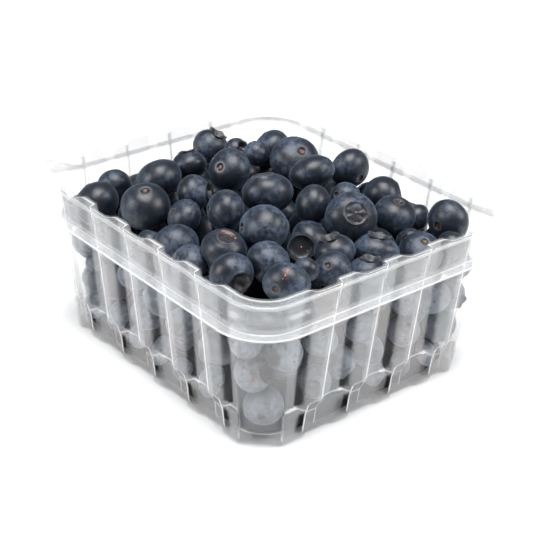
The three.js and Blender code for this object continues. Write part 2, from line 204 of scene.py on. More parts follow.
LEDGE = 12.2  # height of the ledge along the walls,
POCKET_LEDGE = 5.2  # and in the corner pockets
LEDGE_FALL = 0.8  # how far it falls below that under a rib,
CHAMFER = 3.4  # and under a panel, where it slopes
FOOT_INSET = 0.8  # how far in the feet lie,
RECESS = 1.9  # and the recesses between them
FOOT_CORNER_CUT = 1.8  # how much deeper the rounded corners lie there
BULGE = 1.8  # how far the rounded corners swell higher up
FLOOR_INSET = 4.0  # the floor's flat part starts this far in from the feet
FLOOR_SINK = 0.9  # and stands this much higher than they do,
FLOOR_SLOPE = 1.5  # after a slope this wide
print("rim", RIM_X, "x", RIM_Y, "mm, height", HEIGHT, "mm")

# %% [markdown]
# ## One pitch of the pattern
#
# Every rib repeats after 17.5 mm. A pitch starts at the sharp step, where the sheet jumps in by
# the depth of a rib, and a row of key points says how much of a rib stands at each share of the
# pitch, how much of a recess lies below the ledge, and how far the ledge slopes. Between two key
# points the stations lie closer where the sheet curves and wider where it is flat.

# %% The pattern's key points
# Share of the pitch at the rim and from the ledge down, rib, recess, slope of the ledge, and
# the number of stations from here to the next key point.
KEYS = [
    (0.02, 0.02, 1.0, 1.0, 0.5, 1),
    (0.04, 0.04, 1.0, 1.0, 0.4, 2),
    (0.2, 0.26, 1.0, 1.0, 0.0, 5),
    (0.37, 0.457, 1.0, 0.02, 0.0, 1),
    (0.38, 0.47, 1.0, 0.0, 0.0, 8),
    (0.522, 0.652, 0.02, 0.0, 1.0, 1),
    (0.53, 0.666, 0.01, 0.0, 1.0, 1),
    (0.54, 0.69, 0.0, 0.0, 1.0, 2),
    (0.585, 0.735, 0.0, 1.0, 1.0, 1),
    (0.6, 0.75, 0.0, 1.0, 1.0, 4),
    (0.95, 0.95, 0.0, 1.0, 1.0, 1),
    (0.962, 0.962, 0.0, 1.0, 1.0, 1),
    (0.98, 0.98, 0.0, 1.0, 1.0, 4),
]


def ease(x):
    """From 0 to 1 with a soft start and a soft end."""
    t = min(max(x, 0), 1)
    return t * t * (3 - 2 * t)


def mix(a, b, share):
    """The value at a share of the way from a to b."""
    return a + (b - a) * share


PLAIN = {"rib": 1.0, "recess": 0.0, "slope": 0.0}  # the pattern in a rounded corner


def pattern_between(start, end, share):
    """How much rib, recess and slope there is between two patterns, at a share of the way."""
    return {name: mix(start[name], end[name], ease(share)) for name in PLAIN}


def pitch_stations(line):
    """The stations of one pitch, which starts at a line this far along its wall."""
    rows = []
    first = KEYS[0]
    ends = KEYS[1:] + [(1 + first[0], 1 + first[1], *first[2:])]
    for key, end in zip(KEYS, ends):
        pattern, end_pattern = dict(zip(PLAIN, key[2:5])), dict(zip(PLAIN, end[2:5]))
        for step in range(key[5]):
            share = step / key[5]
            rim = mix(key[0], end[0], share)
            low = mix(key[1], end[1], share)
            row = {"at": line + rim * PITCH, "low": line + low * PITCH, "t": low}
            rows.append({**row, **pattern_between(pattern, end_pattern, share)})
    return rows


print(len(pitch_stations(0)), "stations in a pitch")

# %% [markdown]
# ## The stations round the tray
#
# The four corners are quarter circles. Opposite walls are alike, and each wall is measured from
# the corner where its pattern starts, so two of them run against the direction of the outline.
# The stretch between a corner and the first rib gets stations of its own, evenly spaced.

# %% The outline's stations
ARC_STEPS = 12  # stations round a corner
END_STEPS = 7  # stations from a corner to the pattern
PLAIN_SHARE = 0.3  # the share of a pitch that stations off the pattern count as
FIRST_SHARE = 0.38  # of the first pitch, which a corner pocket takes up
CORNERS = [
    Vector((-RIM_X / 2, -RIM_Y / 2)),
    Vector((RIM_X / 2, -RIM_Y / 2)),
    Vector((RIM_X / 2, RIM_Y / 2)),
    Vector((-RIM_X / 2, RIM_Y / 2)),
]
ALONG = [Vector((1, 0)), Vector((0, 1)), Vector((-1, 0)), Vector((0, -1))]
SIDE_LENGTH = [RIM_X, RIM_Y, RIM_X, RIM_Y]
POCKET_STEP = 0.5  # from a rounded corner's end to the start of the straight wall


def wall_stations(side):
    """The patterned part of one wall, in the direction of the outline."""
    axis = side % 2
    rows = []
    for panel in range(PANELS[axis]):
        rows += pitch_stations(FIRST_LINE[axis] + panel * PITCH)
    closing = pitch_stations(FIRST_LINE[axis] + PANELS[axis] * PITCH)[0]
    rows.append(closing)
    # Next to the corner pocket the first foot stands alone, with no recess before it.
    rows = [r for r in rows if r["at"] > FIRST_LINE[axis] + FIRST_SHARE * PITCH - 0.01]
    length = SIDE_LENGTH[side]
    if axis == 1:
        rows = [{**r, "at": length - r["at"], "low": length - r["low"]} for r in reversed(rows)]
    return [{"kind": "wall", "side": side, **r} for r in rows]


def end_station(kind, side, neighbour, share):
    """A station between a corner and the start, or between the end and a corner."""
    ends = (PLAIN, neighbour) if kind == "start" else (neighbour, PLAIN)
    row = {"kind": kind, "side": side, "share": share, "to": neighbour, "t": PLAIN_SHARE}
    return {**row, **pattern_between(*ends, share)}


def outline_stations():
    """All stations, side by side round the tray, each side with the corner before it."""
    stations = []
    for side in range(4):
        corner = {"kind": "arc", "side": side, "t": PLAIN_SHARE, **PLAIN}
        stations += [{**corner, "turn": step / ARC_STEPS} for step in range(ARC_STEPS + 1)]
        wall = wall_stations(side)
        shares = [step / END_STEPS for step in range(END_STEPS + 1)]
        stations += [end_station("start", side, wall[0], share) for share in shares[:-1]]
        stations += wall
        stations += [end_station("end", side, wall[-1], share) for share in shares[1:]]
    return stations


STATIONS = outline_stations()
print(len(STATIONS), "stations round the tray")

# %% [markdown]
# ## From a station to a point
#
# A point of the sheet is given by its station, how far in from the rim's outer side it lies, and
# the corner radius there. Along the walls the pattern drifts a little on the way down, because
# the steps lean, so a point also says how much of the low pattern it follows.


# %% Points in plan
def station_along(station, inset, radius, low):
    """How far along its wall a station lies."""
    if station["kind"] == "wall":
        return mix(station["at"], station["low"], low)
    neighbour = mix(station["to"]["at"], station["to"]["low"], low)
    if station["kind"] == "start":
        return mix(inset + radius + POCKET_STEP, neighbour, station["share"])
    wall_end = SIDE_LENGTH[station["side"]] - inset - radius - POCKET_STEP
    return mix(neighbour, wall_end, station["share"])


def plan_point(station, inset, radius, low):
    """Where a station lies in plan, this far in from the rim's outer side."""
    along = ALONG[station["side"]]
    inward = Vector((-along.y, along.x))
    corner = CORNERS[station["side"]]
    if station["kind"] == "arc":
        centre = corner + (along + inward) * (inset + radius)
        angle = station["turn"] * math.pi / 2
        return centre - along * math.cos(angle) * radius - inward * math.sin(angle) * radius
    return corner + along * station_along(station, inset, radius, low) + inward * inset


def corner_reach(station):
    """The nearest corner's number, and how far along its wall the station is from it."""
    side = station["side"]
    if station["kind"] == "arc":
        return side, 0.0
    at = station_along(station, 0, RIM_CORNER, 0)
    rest = SIDE_LENGTH[side] - at
    return (side, at) if at < rest else ((side + 1) % 4, rest)


def corner_blend(station, corner_values, along_value):
    """A value that changes from one along the walls to one of its own at each corner."""
    corner, distance = corner_reach(station)
    share = ease((TAB_REACH - distance) / (TAB_REACH - RIM_CORNER))
    return mix(along_value, corner_values[corner], share)


def arc_share(station):
    """How near a station is to the middle of a rounded corner."""
    return math.sin(station["turn"] * math.pi) if station["kind"] == "arc" else 0.0


print("first point:", plan_point(STATIONS[0], 0, RIM_CORNER, 0))

# %% [markdown]
# ## The section
#
# Cut through at any station, the sheet is a bent line: from the lip's tip over the skirt, the
# rim's flat top and the wall down to the floor. Only the line's corners are given, each with a
# radius, and every corner is rounded by the same small curve with the same number of points, so
# all stations have equally many points and the rings join up.

# %% The section's corners
# Name, rounding radius, steps of the curve, and rings on the straight stretch that follows.
SECTION = [
    ("tip", 0, 0, 3),
    ("foot", 0.7, 3, 1),
    ("bead_low", 0.5, 2, 0),
    ("bead", 0.6, 3, 0),
    ("bead_high", 0.5, 2, 2),
    ("rim_outside", 1.1, 4, 2),
    ("rim_inside", 0.9, 4, 5),
    ("above_ledge", 0.7, 2, 1),
    ("mid_ledge", 0.6, 2, 0),
    ("below_ledge", 0.8, 2, 3),
    ("foot_bottom", 1.5, 4, 0),
    ("floor_edge", 0.5, 2, 0),
    ("floor", 0.5, 2, 0),
]
NAMES = [row[0] for row in SECTION]
CURVE_LIMIT = 0.48  # a curve takes up at most this share of a straight side


def level_of(name):
    """The row of the table that a point of the section belongs to."""
    return NAMES.index(name.rstrip("-*"))


def rim_corner(inset, z):
    """A corner of the rim: its radius grows with its reach, about one centre."""
    return (inset, RIM_CORNER - inset, 0.0, z)


def wall_corner(depth, z, low=1.0, radius=WALL_CORNER):
    """A corner of the wall: depth is how far in from the panels' plane it lies."""
    return (RIM_LAND + depth + TAPER * (HEIGHT - z), radius, low, z)


def section_corners(station):
    """The section's corners at a station, each (inset, radius, low, z)."""
    arc = arc_share(station)
    _, distance = corner_reach(station)
    lip = corner_blend(station, CORNER_LIP, FLANGE)
    rise = corner_blend(station, CORNER_RISE, 0)
    bead = BEAD * ease((BEAD_REACH - distance) / BEAD_FADE)
    rib = RIB * station["rib"]
    low = FOOT_INSET + (RECESS - FOOT_INSET) * station["recess"]
    in_arc = station["kind"] == "arc"
    ledge = POCKET_LEDGE if in_arc else LEDGE
    fall = mix(LEDGE_FALL, CHAMFER, station["slope"])
    low_depth = low + FOOT_CORNER_CUT * arc
    foot_z = HEIGHT - SKIRT_DROP + FOOT_SHARE * rise

    def skirt(height, out=0.0):
        """A corner on the skirt, which leans out on its way down."""
        share = (HEIGHT - height) / SKIRT_DROP
        return rim_corner(-SKIRT_FLARE * share - out, height)

    floor_inset = low_depth + FLOOR_INSET
    floor_radius = WALL_CORNER - FLOOR_INSET
    return [
        rim_corner(-SKIRT_FLARE - lip, HEIGHT - SKIRT_DROP + rise),
        rim_corner(-SKIRT_FLARE, foot_z),
        skirt(HEIGHT - BEAD_DROP - BEAD_HALF),
        skirt(HEIGHT - BEAD_DROP, bead),
        skirt(HEIGHT - BEAD_DROP + BEAD_HALF),
        rim_corner(0, HEIGHT),
        wall_corner(rib, HEIGHT, 0.0),
        wall_corner(rib, ledge + LEDGE_FALL),
        wall_corner((rib + low) / 2, ledge + (LEDGE_FALL - fall) / 2),
        wall_corner(low_depth, ledge - fall),
        wall_corner(low_depth, SHEET),
        wall_corner(floor_inset, SHEET, 1.0, floor_radius),
        wall_corner(
            floor_inset + FLOOR_SLOPE, SHEET + FLOOR_SINK, 1.0, floor_radius - FLOOR_SLOPE
        ),
    ]


def curve_share(radius, reach):
    """The share of a straight side that the curve at its end takes up."""
    return min(radius / max(reach, 1e-6), CURVE_LIMIT)


def rounded_section(station):
    """The section as a row of points, each (name, inset, radius, low, z).

    A name ends with * in the middle of a curve, and with - between two curves.
    """
    corners = [Vector(c) for c in section_corners(station)]
    points = []
    for index, (name, radius, steps, rings) in enumerate(SECTION):
        here = corners[index]
        if index + 1 == len(corners):
            points.append((name, *here))
            break
        following = corners[index + 1]
        reach = (following - here).length
        head = 0.0
        if steps == 0:
            points.append((name, *here))
        else:
            head = curve_share(radius, reach)
            before = corners[index - 1]
            start = here.lerp(before, curve_share(radius, (before - here).length))
            end = here.lerp(following, head)
            for step in range(steps + 1):
                share = step / steps
                point = start.lerp(here, share).lerp(here.lerp(end, share), share)
                points.append((name + "*" if step == steps // 2 else name, *point))
        tail = 1 - curve_share(SECTION[index + 1][1], reach)
        for step in range(1, rings + 1):
            share = mix(head, tail, step / (rings + 1))
            points.append((name + "-", *here.lerp(following, share)))
    return points


def swollen(station, point):
    """The rounded corners swell softly between the rim and their ledge."""
    name, inset, radius, low, z = point
    share = (HEIGHT - z) / (HEIGHT - POCKET_LEDGE)
    if level_of(name) < level_of("rim_inside") or not 0 < share < 1:
        return point
    out = BULGE * arc_share(station) * math.sin(math.pi * share)
    return (name, inset - out, radius, low, z)


SECTIONS = [[swollen(s, point) for point in rounded_section(s)] for s in STATIONS]
LEVELS = len(SECTIONS[0])
print(LEVELS, "levels from the lip to the floor")

# %% [markdown]
# ## How clear the sheet is
#
# The drawn sheet isn't equally clear all over. Where it was drawn round a soft curve it stayed
# clear, and the dark berries show through. Its sharp edges catch the light and show as thin white
# lines, and these are painted highlights: a white colour laid along the edges. Each vertex gets a
# number for how much of the sheet's veil it has, and one for how much of a painted highlight line
# runs over it. The plastic's material reads both.

# %% The veil
VEIL_WALL = 0.225
VEIL_FOOT = 0.235
VEIL_CORNER = 0.15
VEIL_LAND = 0.1
VEIL_SKIRT = 0.155
VEIL_FLANGE = 0.28
VEIL_CURVE = 0.03
VEIL_BAR = 0.005
BAR_TOP = 10.8
BAR_BOTTOM = 1.8
BAR_FADE = 0.8
SIDE_BAR = 0.6  # how clear the narrow bar beside a bar is
# Bands along a pitch, as shares of it: from, to, and how far they fade before and after.
CLEAR_CURVE = (0.465, 0.57, 0.012, 0.05)
CLEAR_STEP = (0.99, 1, 0.01, 1)
CLEAR_AFTER_STEP = (0, 0.02, 1, 0.02)
BAR_BAND = (0.5, 0.652, 0.02, 0.012)
SIDE_BAR_BAND = (0.4, 0.48, 0.03, 0.03)
STEP_BAND = (0.962, 0.981, 0.011, 0.005)
FOOT_SIDE_BAND = (0.666, 0.691, 0.013, 0.02)
PANEL_FOOT = (0.68, 0.981)  # where along a pitch a foot stands under its panel


def band(value, low, high, low_fade, high_fade):
    """1 between two numbers, fading to 0 over a stretch outside each of them."""
    return ease(1 - (low - value) / low_fade) * ease(1 - (value - high) / high_fade)


def veil_at(station, name, z):
    """How much one face of the sheet hides of what is behind it at a point."""
    level = level_of(name)
    if level < level_of("bead_low"):
        return VEIL_FLANGE
    if level < level_of("rim_inside"):
        return VEIL_LAND if name == "rim_outside-" else VEIL_SKIRT
    if level >= level_of("foot_bottom") or station["kind"] != "wall":
        return VEIL_CORNER if station["kind"] == "arc" else VEIL_WALL
    t = station["t"] % 1
    if z > LEDGE + LEDGE_FALL:
        clear = max(band(t, *row) for row in (CLEAR_CURVE, CLEAR_STEP, CLEAR_AFTER_STEP))
        return mix(VEIL_WALL, VEIL_CURVE, clear)
    tall = ease((z - BAR_BOTTOM) / BAR_FADE) * ease((BAR_TOP - z) / BAR_FADE)
    bar = max(band(t, *BAR_BAND), SIDE_BAR * band(t, *SIDE_BAR_BAND))
    return mix(VEIL_FOOT, VEIL_BAR, bar * tall)


print("veil in the middle of a rib:", veil_at({"t": 0.2, "kind": "wall"}, "rim_inside-", 30))

# %% The painted highlight lines
# How strong the painted highlight is along the rim's and the lip's edges, by the section's names.
EDGE_LINES = {"tip": 0.75, "foot*": 0.4, "rim_outside": 0.4, "rim_outside*": 0.4}
RIM_INSIDE_LINE = 0.7
RIM_LINE_DEPTH = 0.35  # the inner line ends this far below the rim's top
FLANGE_LINE = 0.1
PANEL_FOOT_LINE = 0.5
LEDGE_LINE = 0.6
POCKET_LINE = 0.6
LOW_STEP_LINE = 0.5
FOOT_SIDE_LINE = 0.9


def highlight_line_at(station, name, z):
    """How much painted highlight runs over a point: along sharp steps, the ledge and the rim."""
    if name in EDGE_LINES:
        return EDGE_LINES[name]
    if name in ("rim_inside", "rim_inside*") and z > HEIGHT - RIM_LINE_DEPTH:
        return RIM_INSIDE_LINE
    level = level_of(name)
    if level < level_of("bead_low"):
        return FLANGE_LINE
    if level < level_of("rim_inside") or level >= level_of("foot_bottom"):
        return 0.0
    t = station["t"] % 1
    in_wall = station["kind"] == "wall"
    panel_foot = in_wall and PANEL_FOOT[0] < t < PANEL_FOOT[1]
    if name in ("above_ledge*", "below_ledge*") and panel_foot:
        return PANEL_FOOT_LINE
    if name == "mid_ledge*" and not panel_foot:
        return LEDGE_LINE
    step = band(t, *STEP_BAND) if in_wall else 0.0
    if z > LEDGE + LEDGE_FALL:
        return step
    pocket_side = station["kind"] == "arc" and station["turn"] in (0, 1)
    foot_side = band(t, *FOOT_SIDE_BAND) if in_wall else 0.0
    return max(LOW_STEP_LINE * step, FOOT_SIDE_LINE * foot_side, POCKET_LINE * pocket_side)


print("line on the ledge under a rib:", highlight_line_at({"t": 0.2, "kind": "wall"}, "mid_ledge*", LEDGE))

# %% [markdown]
# ## Drawing the tray down
#
# The circle's vertices are numbered by station once. Extruding keeps the numbers, so after each
# extrusion the new, selected vertices can be laid where their stations say. The floor closes with
# one more ring, merged at its centre. Then the normals are set, and Solidify gives the sheet its
# thickness on the outside of the cavity.


# %% Laying a ring
def lay_ring(mesh, level):
    """Puts the selected vertices, which are one ring, on their places at a level."""
    bm = bmesh.from_edit_mesh(mesh)
    number = bm.verts.layers.int["station"]
    veil = bm.verts.layers.float["veil"]
    line = bm.verts.layers.float["line"]
    for vertex in bm.verts:
        if vertex.select:
            index = vertex[number]
            name, inset, radius, low, z = SECTIONS[index][level]
            x, y = plan_point(STATIONS[index], inset, radius, low)
            vertex.co = Vector((x, y, z)) * MM
            vertex[veil] = veil_at(STATIONS[index], name, z)
            vertex[line] = highlight_line_at(STATIONS[index], name, z)
    bmesh.update_edit_mesh(mesh)


# %% The drawn sheet
deselect_all()
bpy.ops.mesh.primitive_circle_add(vertices=len(STATIONS), radius=RIM_X / 2 * MM)
tray = bpy.context.object
tray.name = "tray"
bpy.ops.object.mode_set(mode="EDIT")
bpy.ops.mesh.select_all(action="SELECT")
ring = bmesh.from_edit_mesh(tray.data)
numbers = ring.verts.layers.int.new("station")
ring.verts.layers.float.new("veil")
ring.verts.layers.float.new("line")
for index, vertex in enumerate(ring.verts):
    vertex[numbers] = index
for level in range(LEVELS):
    if level > 0:
        bpy.ops.mesh.extrude_edges_indiv()
    lay_ring(tray.data, level)
bpy.ops.mesh.extrude_edges_indiv()
bpy.ops.transform.resize(value=(0.5, 0.5, 1), center_override=(0, 0, 0))
bpy.ops.mesh.extrude_edges_indiv()
bpy.ops.mesh.merge(type="CENTER")
bpy.ops.mesh.select_all(action="SELECT")
bpy.ops.mesh.normals_make_consistent(inside=False)
bpy.ops.object.mode_set(mode="OBJECT")
print("drawn sheet:", len(tray.data.vertices), "points")

# %% Thickness
UPRIGHT_PART = (20, 40)  # heights between which the sheet is nothing but wall
TRAY_SMOOTH = math.radians(50)  # sharper edges than this stay sharp
LINES_TURN = 2  # this far below the rim's top, the lines change to the sheet's other face

# The sheet thickens away from the cavity, so the walls' normals have to point out of it.
outward = 0.0
for polygon in tray.data.polygons:
    if UPRIGHT_PART[0] * MM < polygon.center.z < UPRIGHT_PART[1] * MM:
        outward += polygon.normal.x * polygon.center.x + polygon.normal.y * polygon.center.y
if outward < 0:
    tray.data.flip_normals()
drawn_points = len(tray.data.vertices)
thickness = tray.modifiers.new("sheet", "SOLIDIFY")
thickness.thickness = SHEET * MM
thickness.offset = 1.0
bpy.ops.object.modifier_apply(modifier=thickness.name)

# A line lies on one face of the sheet only: on the top of the rim and the outside of the rest.
lines = tray.data.attributes["line"].data
for vertex in tray.data.vertices:
    drawn_face = vertex.index < drawn_points
    if drawn_face != (vertex.co.z > (HEIGHT - LINES_TURN) * MM):
        lines[vertex.index].value = 0.0
bpy.ops.object.shade_smooth_by_angle(angle=TRAY_SMOOTH)
print("tray:", len(tray.data.polygons), "faces, outward", outward > 0)

# %% [markdown]
# ## The clear plastic
#
# Real glass with refraction is slow to render and shows too little of the milky look of thin,
# drawn plastic. So the sheet is a thin coat instead: its alpha is the veil, which hides a little
# of what is behind it in white, plus more at grazing angles, where any clear sheet turns into a
# mirror. Faint upright streaks in the veil come from the drawing.

# %% Nodes
def add_node(tree, kind, inputs, **settings):
    """A node of a kind, with its settings and what its inputs are given."""
    node = tree.nodes.new(kind)
    for name, value in settings.items():
        setattr(node, name, value)
    set_inputs(node, inputs)
    return node


def attribute(tree, name):
    """The number that each vertex keeps under a name."""
    return add_node(tree, "ShaderNodeAttribute", {}, attribute_name=name).outputs["Fac"]


def math_node(tree, operation, a, b, clamp=False):
    """A sum or a product of two sockets or numbers."""
    settings = {"operation": operation, "use_clamp": clamp}
    return add_node(tree, "ShaderNodeMath", {0: a, 1: b}, **settings).outputs[0]


def map_range(tree, value, low, high, to_low=0.0, to_high=1.0):
    """The range from low to high stretched over another, with what lies outside cut off."""
    ends = {"From Min": low, "From Max": high, "To Min": to_low, "To Max": to_high}
    return add_node(tree, "ShaderNodeMapRange", {"Value": value, **ends}).outputs["Result"]


def mix_numbers(tree, share, a, b):
    """A number between two, each a number or a socket."""
    inputs = {0: share, 2: a, 3: b}
    return add_node(tree, "ShaderNodeMix", inputs, data_type="FLOAT").outputs[0]


def mix_colours(tree, share, a, b):
    """A colour between two, each a tuple or a socket."""
    inputs = {0: share, 6: a, 7: b}
    return add_node(tree, "ShaderNodeMix", inputs, data_type="RGBA").outputs[2]


def object_noise(tree, scale, detail=3.0, stretch=(1, 1, 1), roughness=0.5):
    """Noise on Object coordinates, from 0 to 1. The scale counts its waves in a metre."""
    place = add_node(tree, "ShaderNodeTexCoord", {}).outputs["Object"]
    mapping = add_node(tree, "ShaderNodeMapping", {"Vector": place, "Scale": stretch})
    waves = {"Vector": mapping.outputs["Vector"], "Scale": scale}
    waves.update({"Detail": detail, "Roughness": roughness})
    return add_node(tree, "ShaderNodeTexNoise", waves).outputs["Fac"]


def bumped(tree, height, strength, depth):
    """A normal that follows a height, whose full depth is in metres."""
    inputs = {"Height": height, "Strength": strength, "Distance": depth}
    return add_node(tree, "ShaderNodeBump", inputs).outputs["Normal"]


# %% Plastic material
PLASTIC_COLOUR = (0.57, 0.59, 0.605, 1)
PLASTIC_WARM = (0.605, 0.59, 0.59, 1)
TINT_SCALE = 45.0
# The white lines are painted highlights: a near-white colour with more alpha along the edges.
HIGHLIGHT_LINE_COLOUR = (0.95, 0.95, 0.95, 1)
LINE_VEIL = 0.86
LINE_ROUGHNESS = 0.55
PLASTIC_ROUGHNESS = 0.16
PLASTIC_IOR = 2.0
HAZE_SCALE = 400.0
STREAK_STRETCH = (260.0, 260.0, 22.0)
STREAK_SHARE = 0.03
GRAZING_SHARE = 0.03
FACING_BLEND = 0.35
RIPPLE_STRETCH = (60, 60, 30)
RIPPLE_STRENGTH = 0.02
RIPPLE_DEPTH = 0.4 * MM

plastic, shader = new_material("clear_plastic")
tree = plastic.node_tree
line = attribute(tree, "line")
tint = map_range(tree, object_noise(tree, TINT_SCALE, 1.0), 0.35, 0.65)
colour = mix_colours(tree, tint, PLASTIC_COLOUR, PLASTIC_WARM)
streaks = object_noise(tree, 1.0, 4.0, STREAK_STRETCH)
streaks = map_range(tree, streaks, 0.3, 0.7, 1 - STREAK_SHARE, 1 + STREAK_SHARE)
veil = math_node(tree, "MULTIPLY", attribute(tree, "veil"), streaks)
facing = add_node(tree, "ShaderNodeLayerWeight", {"Blend": FACING_BLEND}).outputs["Facing"]
grazing = math_node(tree, "MULTIPLY", facing, GRAZING_SHARE)
grazing = math_node(tree, "MULTIPLY", grazing, facing)
alpha = math_node(tree, "ADD", veil, grazing, clamp=True)
haze = map_range(tree, object_noise(tree, HAZE_SCALE), 0.3, 0.7, 0.8, 1.3)
rough = math_node(tree, "MULTIPLY", haze, PLASTIC_ROUGHNESS)
ripple = object_noise(tree, 1.0, 2.0, RIPPLE_STRETCH)
finish = {
    "Base Color": mix_colours(tree, line, colour, HIGHLIGHT_LINE_COLOUR),
    "Alpha": mix_numbers(tree, line, alpha, LINE_VEIL),
    "Roughness": mix_numbers(tree, line, rough, LINE_ROUGHNESS),
    "IOR": PLASTIC_IOR,
    "Normal": bumped(tree, ripple, RIPPLE_STRENGTH, RIPPLE_DEPTH),
}
set_inputs(shader, finish)
tray.data.materials.clear()
tray.data.materials.append(plastic)
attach(tray, "root")
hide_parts("punnet")
print("plastic:", len(tree.nodes), "nodes")

# %% [markdown]
# ## Where the berries lie
#
# The berries that show from above, and those that press against the near walls, have their places
# from two short tables. The rest of the heap only shows here and there through the plastic. It
# could be dropped in with rigid body physics, but that gives a slightly different heap on every
# computer. Instead the lower berries start in loose layers, and are pushed apart again and again
# until they lie between the fixed ones, which gives the same heap every time.

# %% The berries' places
# Middle x, middle y, rise of the middle above the rim, and diameter; then how much bloom the
# berry has, from 0 to 1, and what is turned towards the eye: a crown, a stem scar or neither,
# and where on the berry it is, to the right and up, in shares of the berry's radius.
TOP_BERRIES = [
    (7.5, -30.5, 0, 15.1, 0.55, "folded", 0.16, 0.2),
    (-35, 16.5, -2.5, 15.2, 0.2, "scar", 0.06, 0.69),
    (-3.5, 15, 2, 13.4, 0.45, "scar", -0.54, 0.14),
    (-5.5, -6.5, 2.5, 15.3, 0.3, "worn", -0.22, 0.93),
    (-20.5, -23, 1.5, 15.2, 0.6, "scar", -0.93, 0.05),
    (20.5, 11, 0.5, 15.7, 0.45, "scar", 0.33, 0.43),
    (16, -2.5, 2.5, 13.6, 0.4, "scar", -0.45, 0.87),
    (35, 0, -2, 13.1, 0.35, "scar", 0.55, -0.6),
    (3, -18, 1, 11.9, 0.15, "none", 0.6, -0.8),
    (26, -30.5, -4.5, 13, 0.3, "scar", 0.22, 0.73),
    (37.5, -42.5, -5, 13, 0.4, "scar", -0.7, -0.28),
    (32, -19, -4, 13, 0.15, "none", 0.9, 0.3),
    (-21, -5.5, 0.5, 12.4, 0.5, "scar", -0.97, 0.1),
    (-29.5, 4, -3, 10.9, 0.4, "scar", -0.75, 0.31),
    (-21, 10.5, 0.5, 11.1, 0.4, "open", 0.97, 0.1),
    (-23.5, 25.5, 0, 14.5, 0.15, "none", 0.5, -0.85),
    (-29.5, 41.5, -6.5, 11.3, 0.45, "open", -0.1, -0.9),
    (-41, 36, -7.5, 14.2, 0.12, "none", -0.75, 0.65),
    (-9, 29, 0, 11, 0.25, "open", -0.2, 0.97),
    (9.5, 42, -2.5, 12.1, 0.4, "open", 0.5, 0.78),
    (11, 29.5, 0, 8.3, 0.3, "open", 0.6, 0.3),
    (12.5, 21, 1.5, 8.8, 0.7, "none", 0.2, 0.95),
    (22.5, 25, -0.5, 12.7, 0.6, "none", -0.8, 0.55),
    (-34, -21.5, -2, 12.7, 0.12, "worn", 0.15, 0.72),
    (-28, -34.5, -2.5, 12.8, 0.65, "none", -0.7, -0.7),
    (-40.5, -33.5, -3, 12.4, 0.55, "open", 0.42, -0.44),
    (-33.5, -50, -1.5, 12.7, 0.9, "scar", -0.56, -0.3),
    (-38, -3.5, -6.5, 13.4, 0.4, "none", 0.2, -0.95),
    (-43, -15, -7, 11.3, 0.85, "folded", -0.5, 0.54),
    (-13, -31, -4, 9.7, 0.1, "wide", 0.08, 0.02),
    (-7.5, -40, -3, 11.7, 0.65, "open", -0.28, 0.88),
    (6.5, -43, -5.5, 12.2, 0.65, "open", 0.15, 0.92),
    (-15.5, -48, -3, 10.8, 0.6, "scar", -0.32, 0.25),
    (-2.5, -50, -7, 10.7, 0.6, "open", 0.12, 0.9),
    (20.5, -49.5, -8.5, 12.9, 0.45, "scar", 0.14, 0.63),
    (14, -20.5, 1, 9.6, 0.45, "scar", -0.69, 0.21),
    (35.5, -31, -8, 8.8, 0.3, "none", -0.8, 0.5),
    (-24, -46.5, -1, 7.3, 0.4, "none", 0.5, 0.8),
    (-40.5, 6.5, -9, 7.9, 0.3, "none", 0.3, 0.9),
    (24.5, -39.5, -10, 8.6, 0.4, "open", -0.37, 0.0),
    (32, -51.5, -8.5, 9.1, 0.4, "none", 0.3, 0.9),
    (-4, -25.5, -6.5, 12.4, 0.3, "none", 0.8, 0.5),
]
# Middle x, y and z, and diameter; then bloom and what shows, as above.
# Their bloom is set high, partly as painted light, so that they look paler behind the plastic.
WALL_BERRIES = [
    (-36.5, -44.5, 11, 12, 0.6, "scar", -0.09, -0.54),
    (-38, -41, 22, 11.5, 1.0, "open", 0.77, 0.04),
    (-31.5, -47, 29.5, 11.1, 0.95, "open", -0.74, -0.33),
    (-40, -39.5, 33, 11.4, 0.9, "none", 0.9, 0.3),
    (-38.5, -25, 22.5, 11.2, 1.0, "none", 0.5, 0.8),
    (-37, -23, 9, 10.9, 1.0, "scar", 0.25, -0.2),
    (-18, -47, 28.5, 10.5, 0.95, "none", 0.2, 0.95),
    (-18, -45.5, 13.5, 10.1, 1.0, "open", -0.1, -0.4),
    (-8, -45, 16.5, 10.8, 1.0, "none", 0.7, -0.7),
    (-1.5, -47, 27.5, 10.2, 0.95, "none", -0.6, 0.7),
    (2.5, -46, 17.5, 10.3, 1.0, "open", -0.4, -0.1),
    (16, -47.5, 31, 10, 0.9, "none", 0.8, 0.5),
    (18, -46, 19, 10.2, 1.0, "scar", 0.3, 0.3),
    (29.5, -47, 27, 10.9, 1.0, "none", -0.5, 0.8),
    (38, -45.5, 25, 10.6, 1.0, "open", 0.6, -0.5),
    (-38, 29, 21.5, 12.2, 1.0, "none", 0.9, 0.2),
    (-38, 11, 18, 11.3, 1.0, "scar", -0.3, 0.3),
    (-39, -8.5, 24, 10.9, 0.95, "none", 0.4, -0.9),
]
print(len(TOP_BERRIES), "berries on top,", len(WALL_BERRIES), "against the near walls")

# %% [markdown]
# ## Settling the heap
#
# The rows of the lower layers start close together and partly inside each other. In every round
# each pair that overlaps is pushed apart, the fixed berries stay, and a berry that has left the
# tray is brought back to its wall, its rounded corner or the floor.

# %% Settling
GAP = 0.35  # between the ribs and the berries, in millimetres
LAYERS = 5
ROWS_X = 7
ROWS_Y = 8
FIRST_LAYER = 6.6
LAYER_STEP = 9.4
MEAN_BERRY = 12.0
BERRY_SPREAD = 3.0
JITTER = 3.5  # how far a berry starts off its row at most, both ways together
CROWDED = 0.75  # a loose berry starts no nearer to a fixed one than this share of touching
HIDDEN_TOP = 44  # the loose berries stay below this in the middle,
WALL_DIP = 4.5  # and this much lower still at the walls
CORNER_ROOM = 0.2
FLOOR_HEIGHT = 0.95
SETTLE_ROUNDS = 140
NEIGHBOUR = 16  # berries farther apart than this along a side can't touch
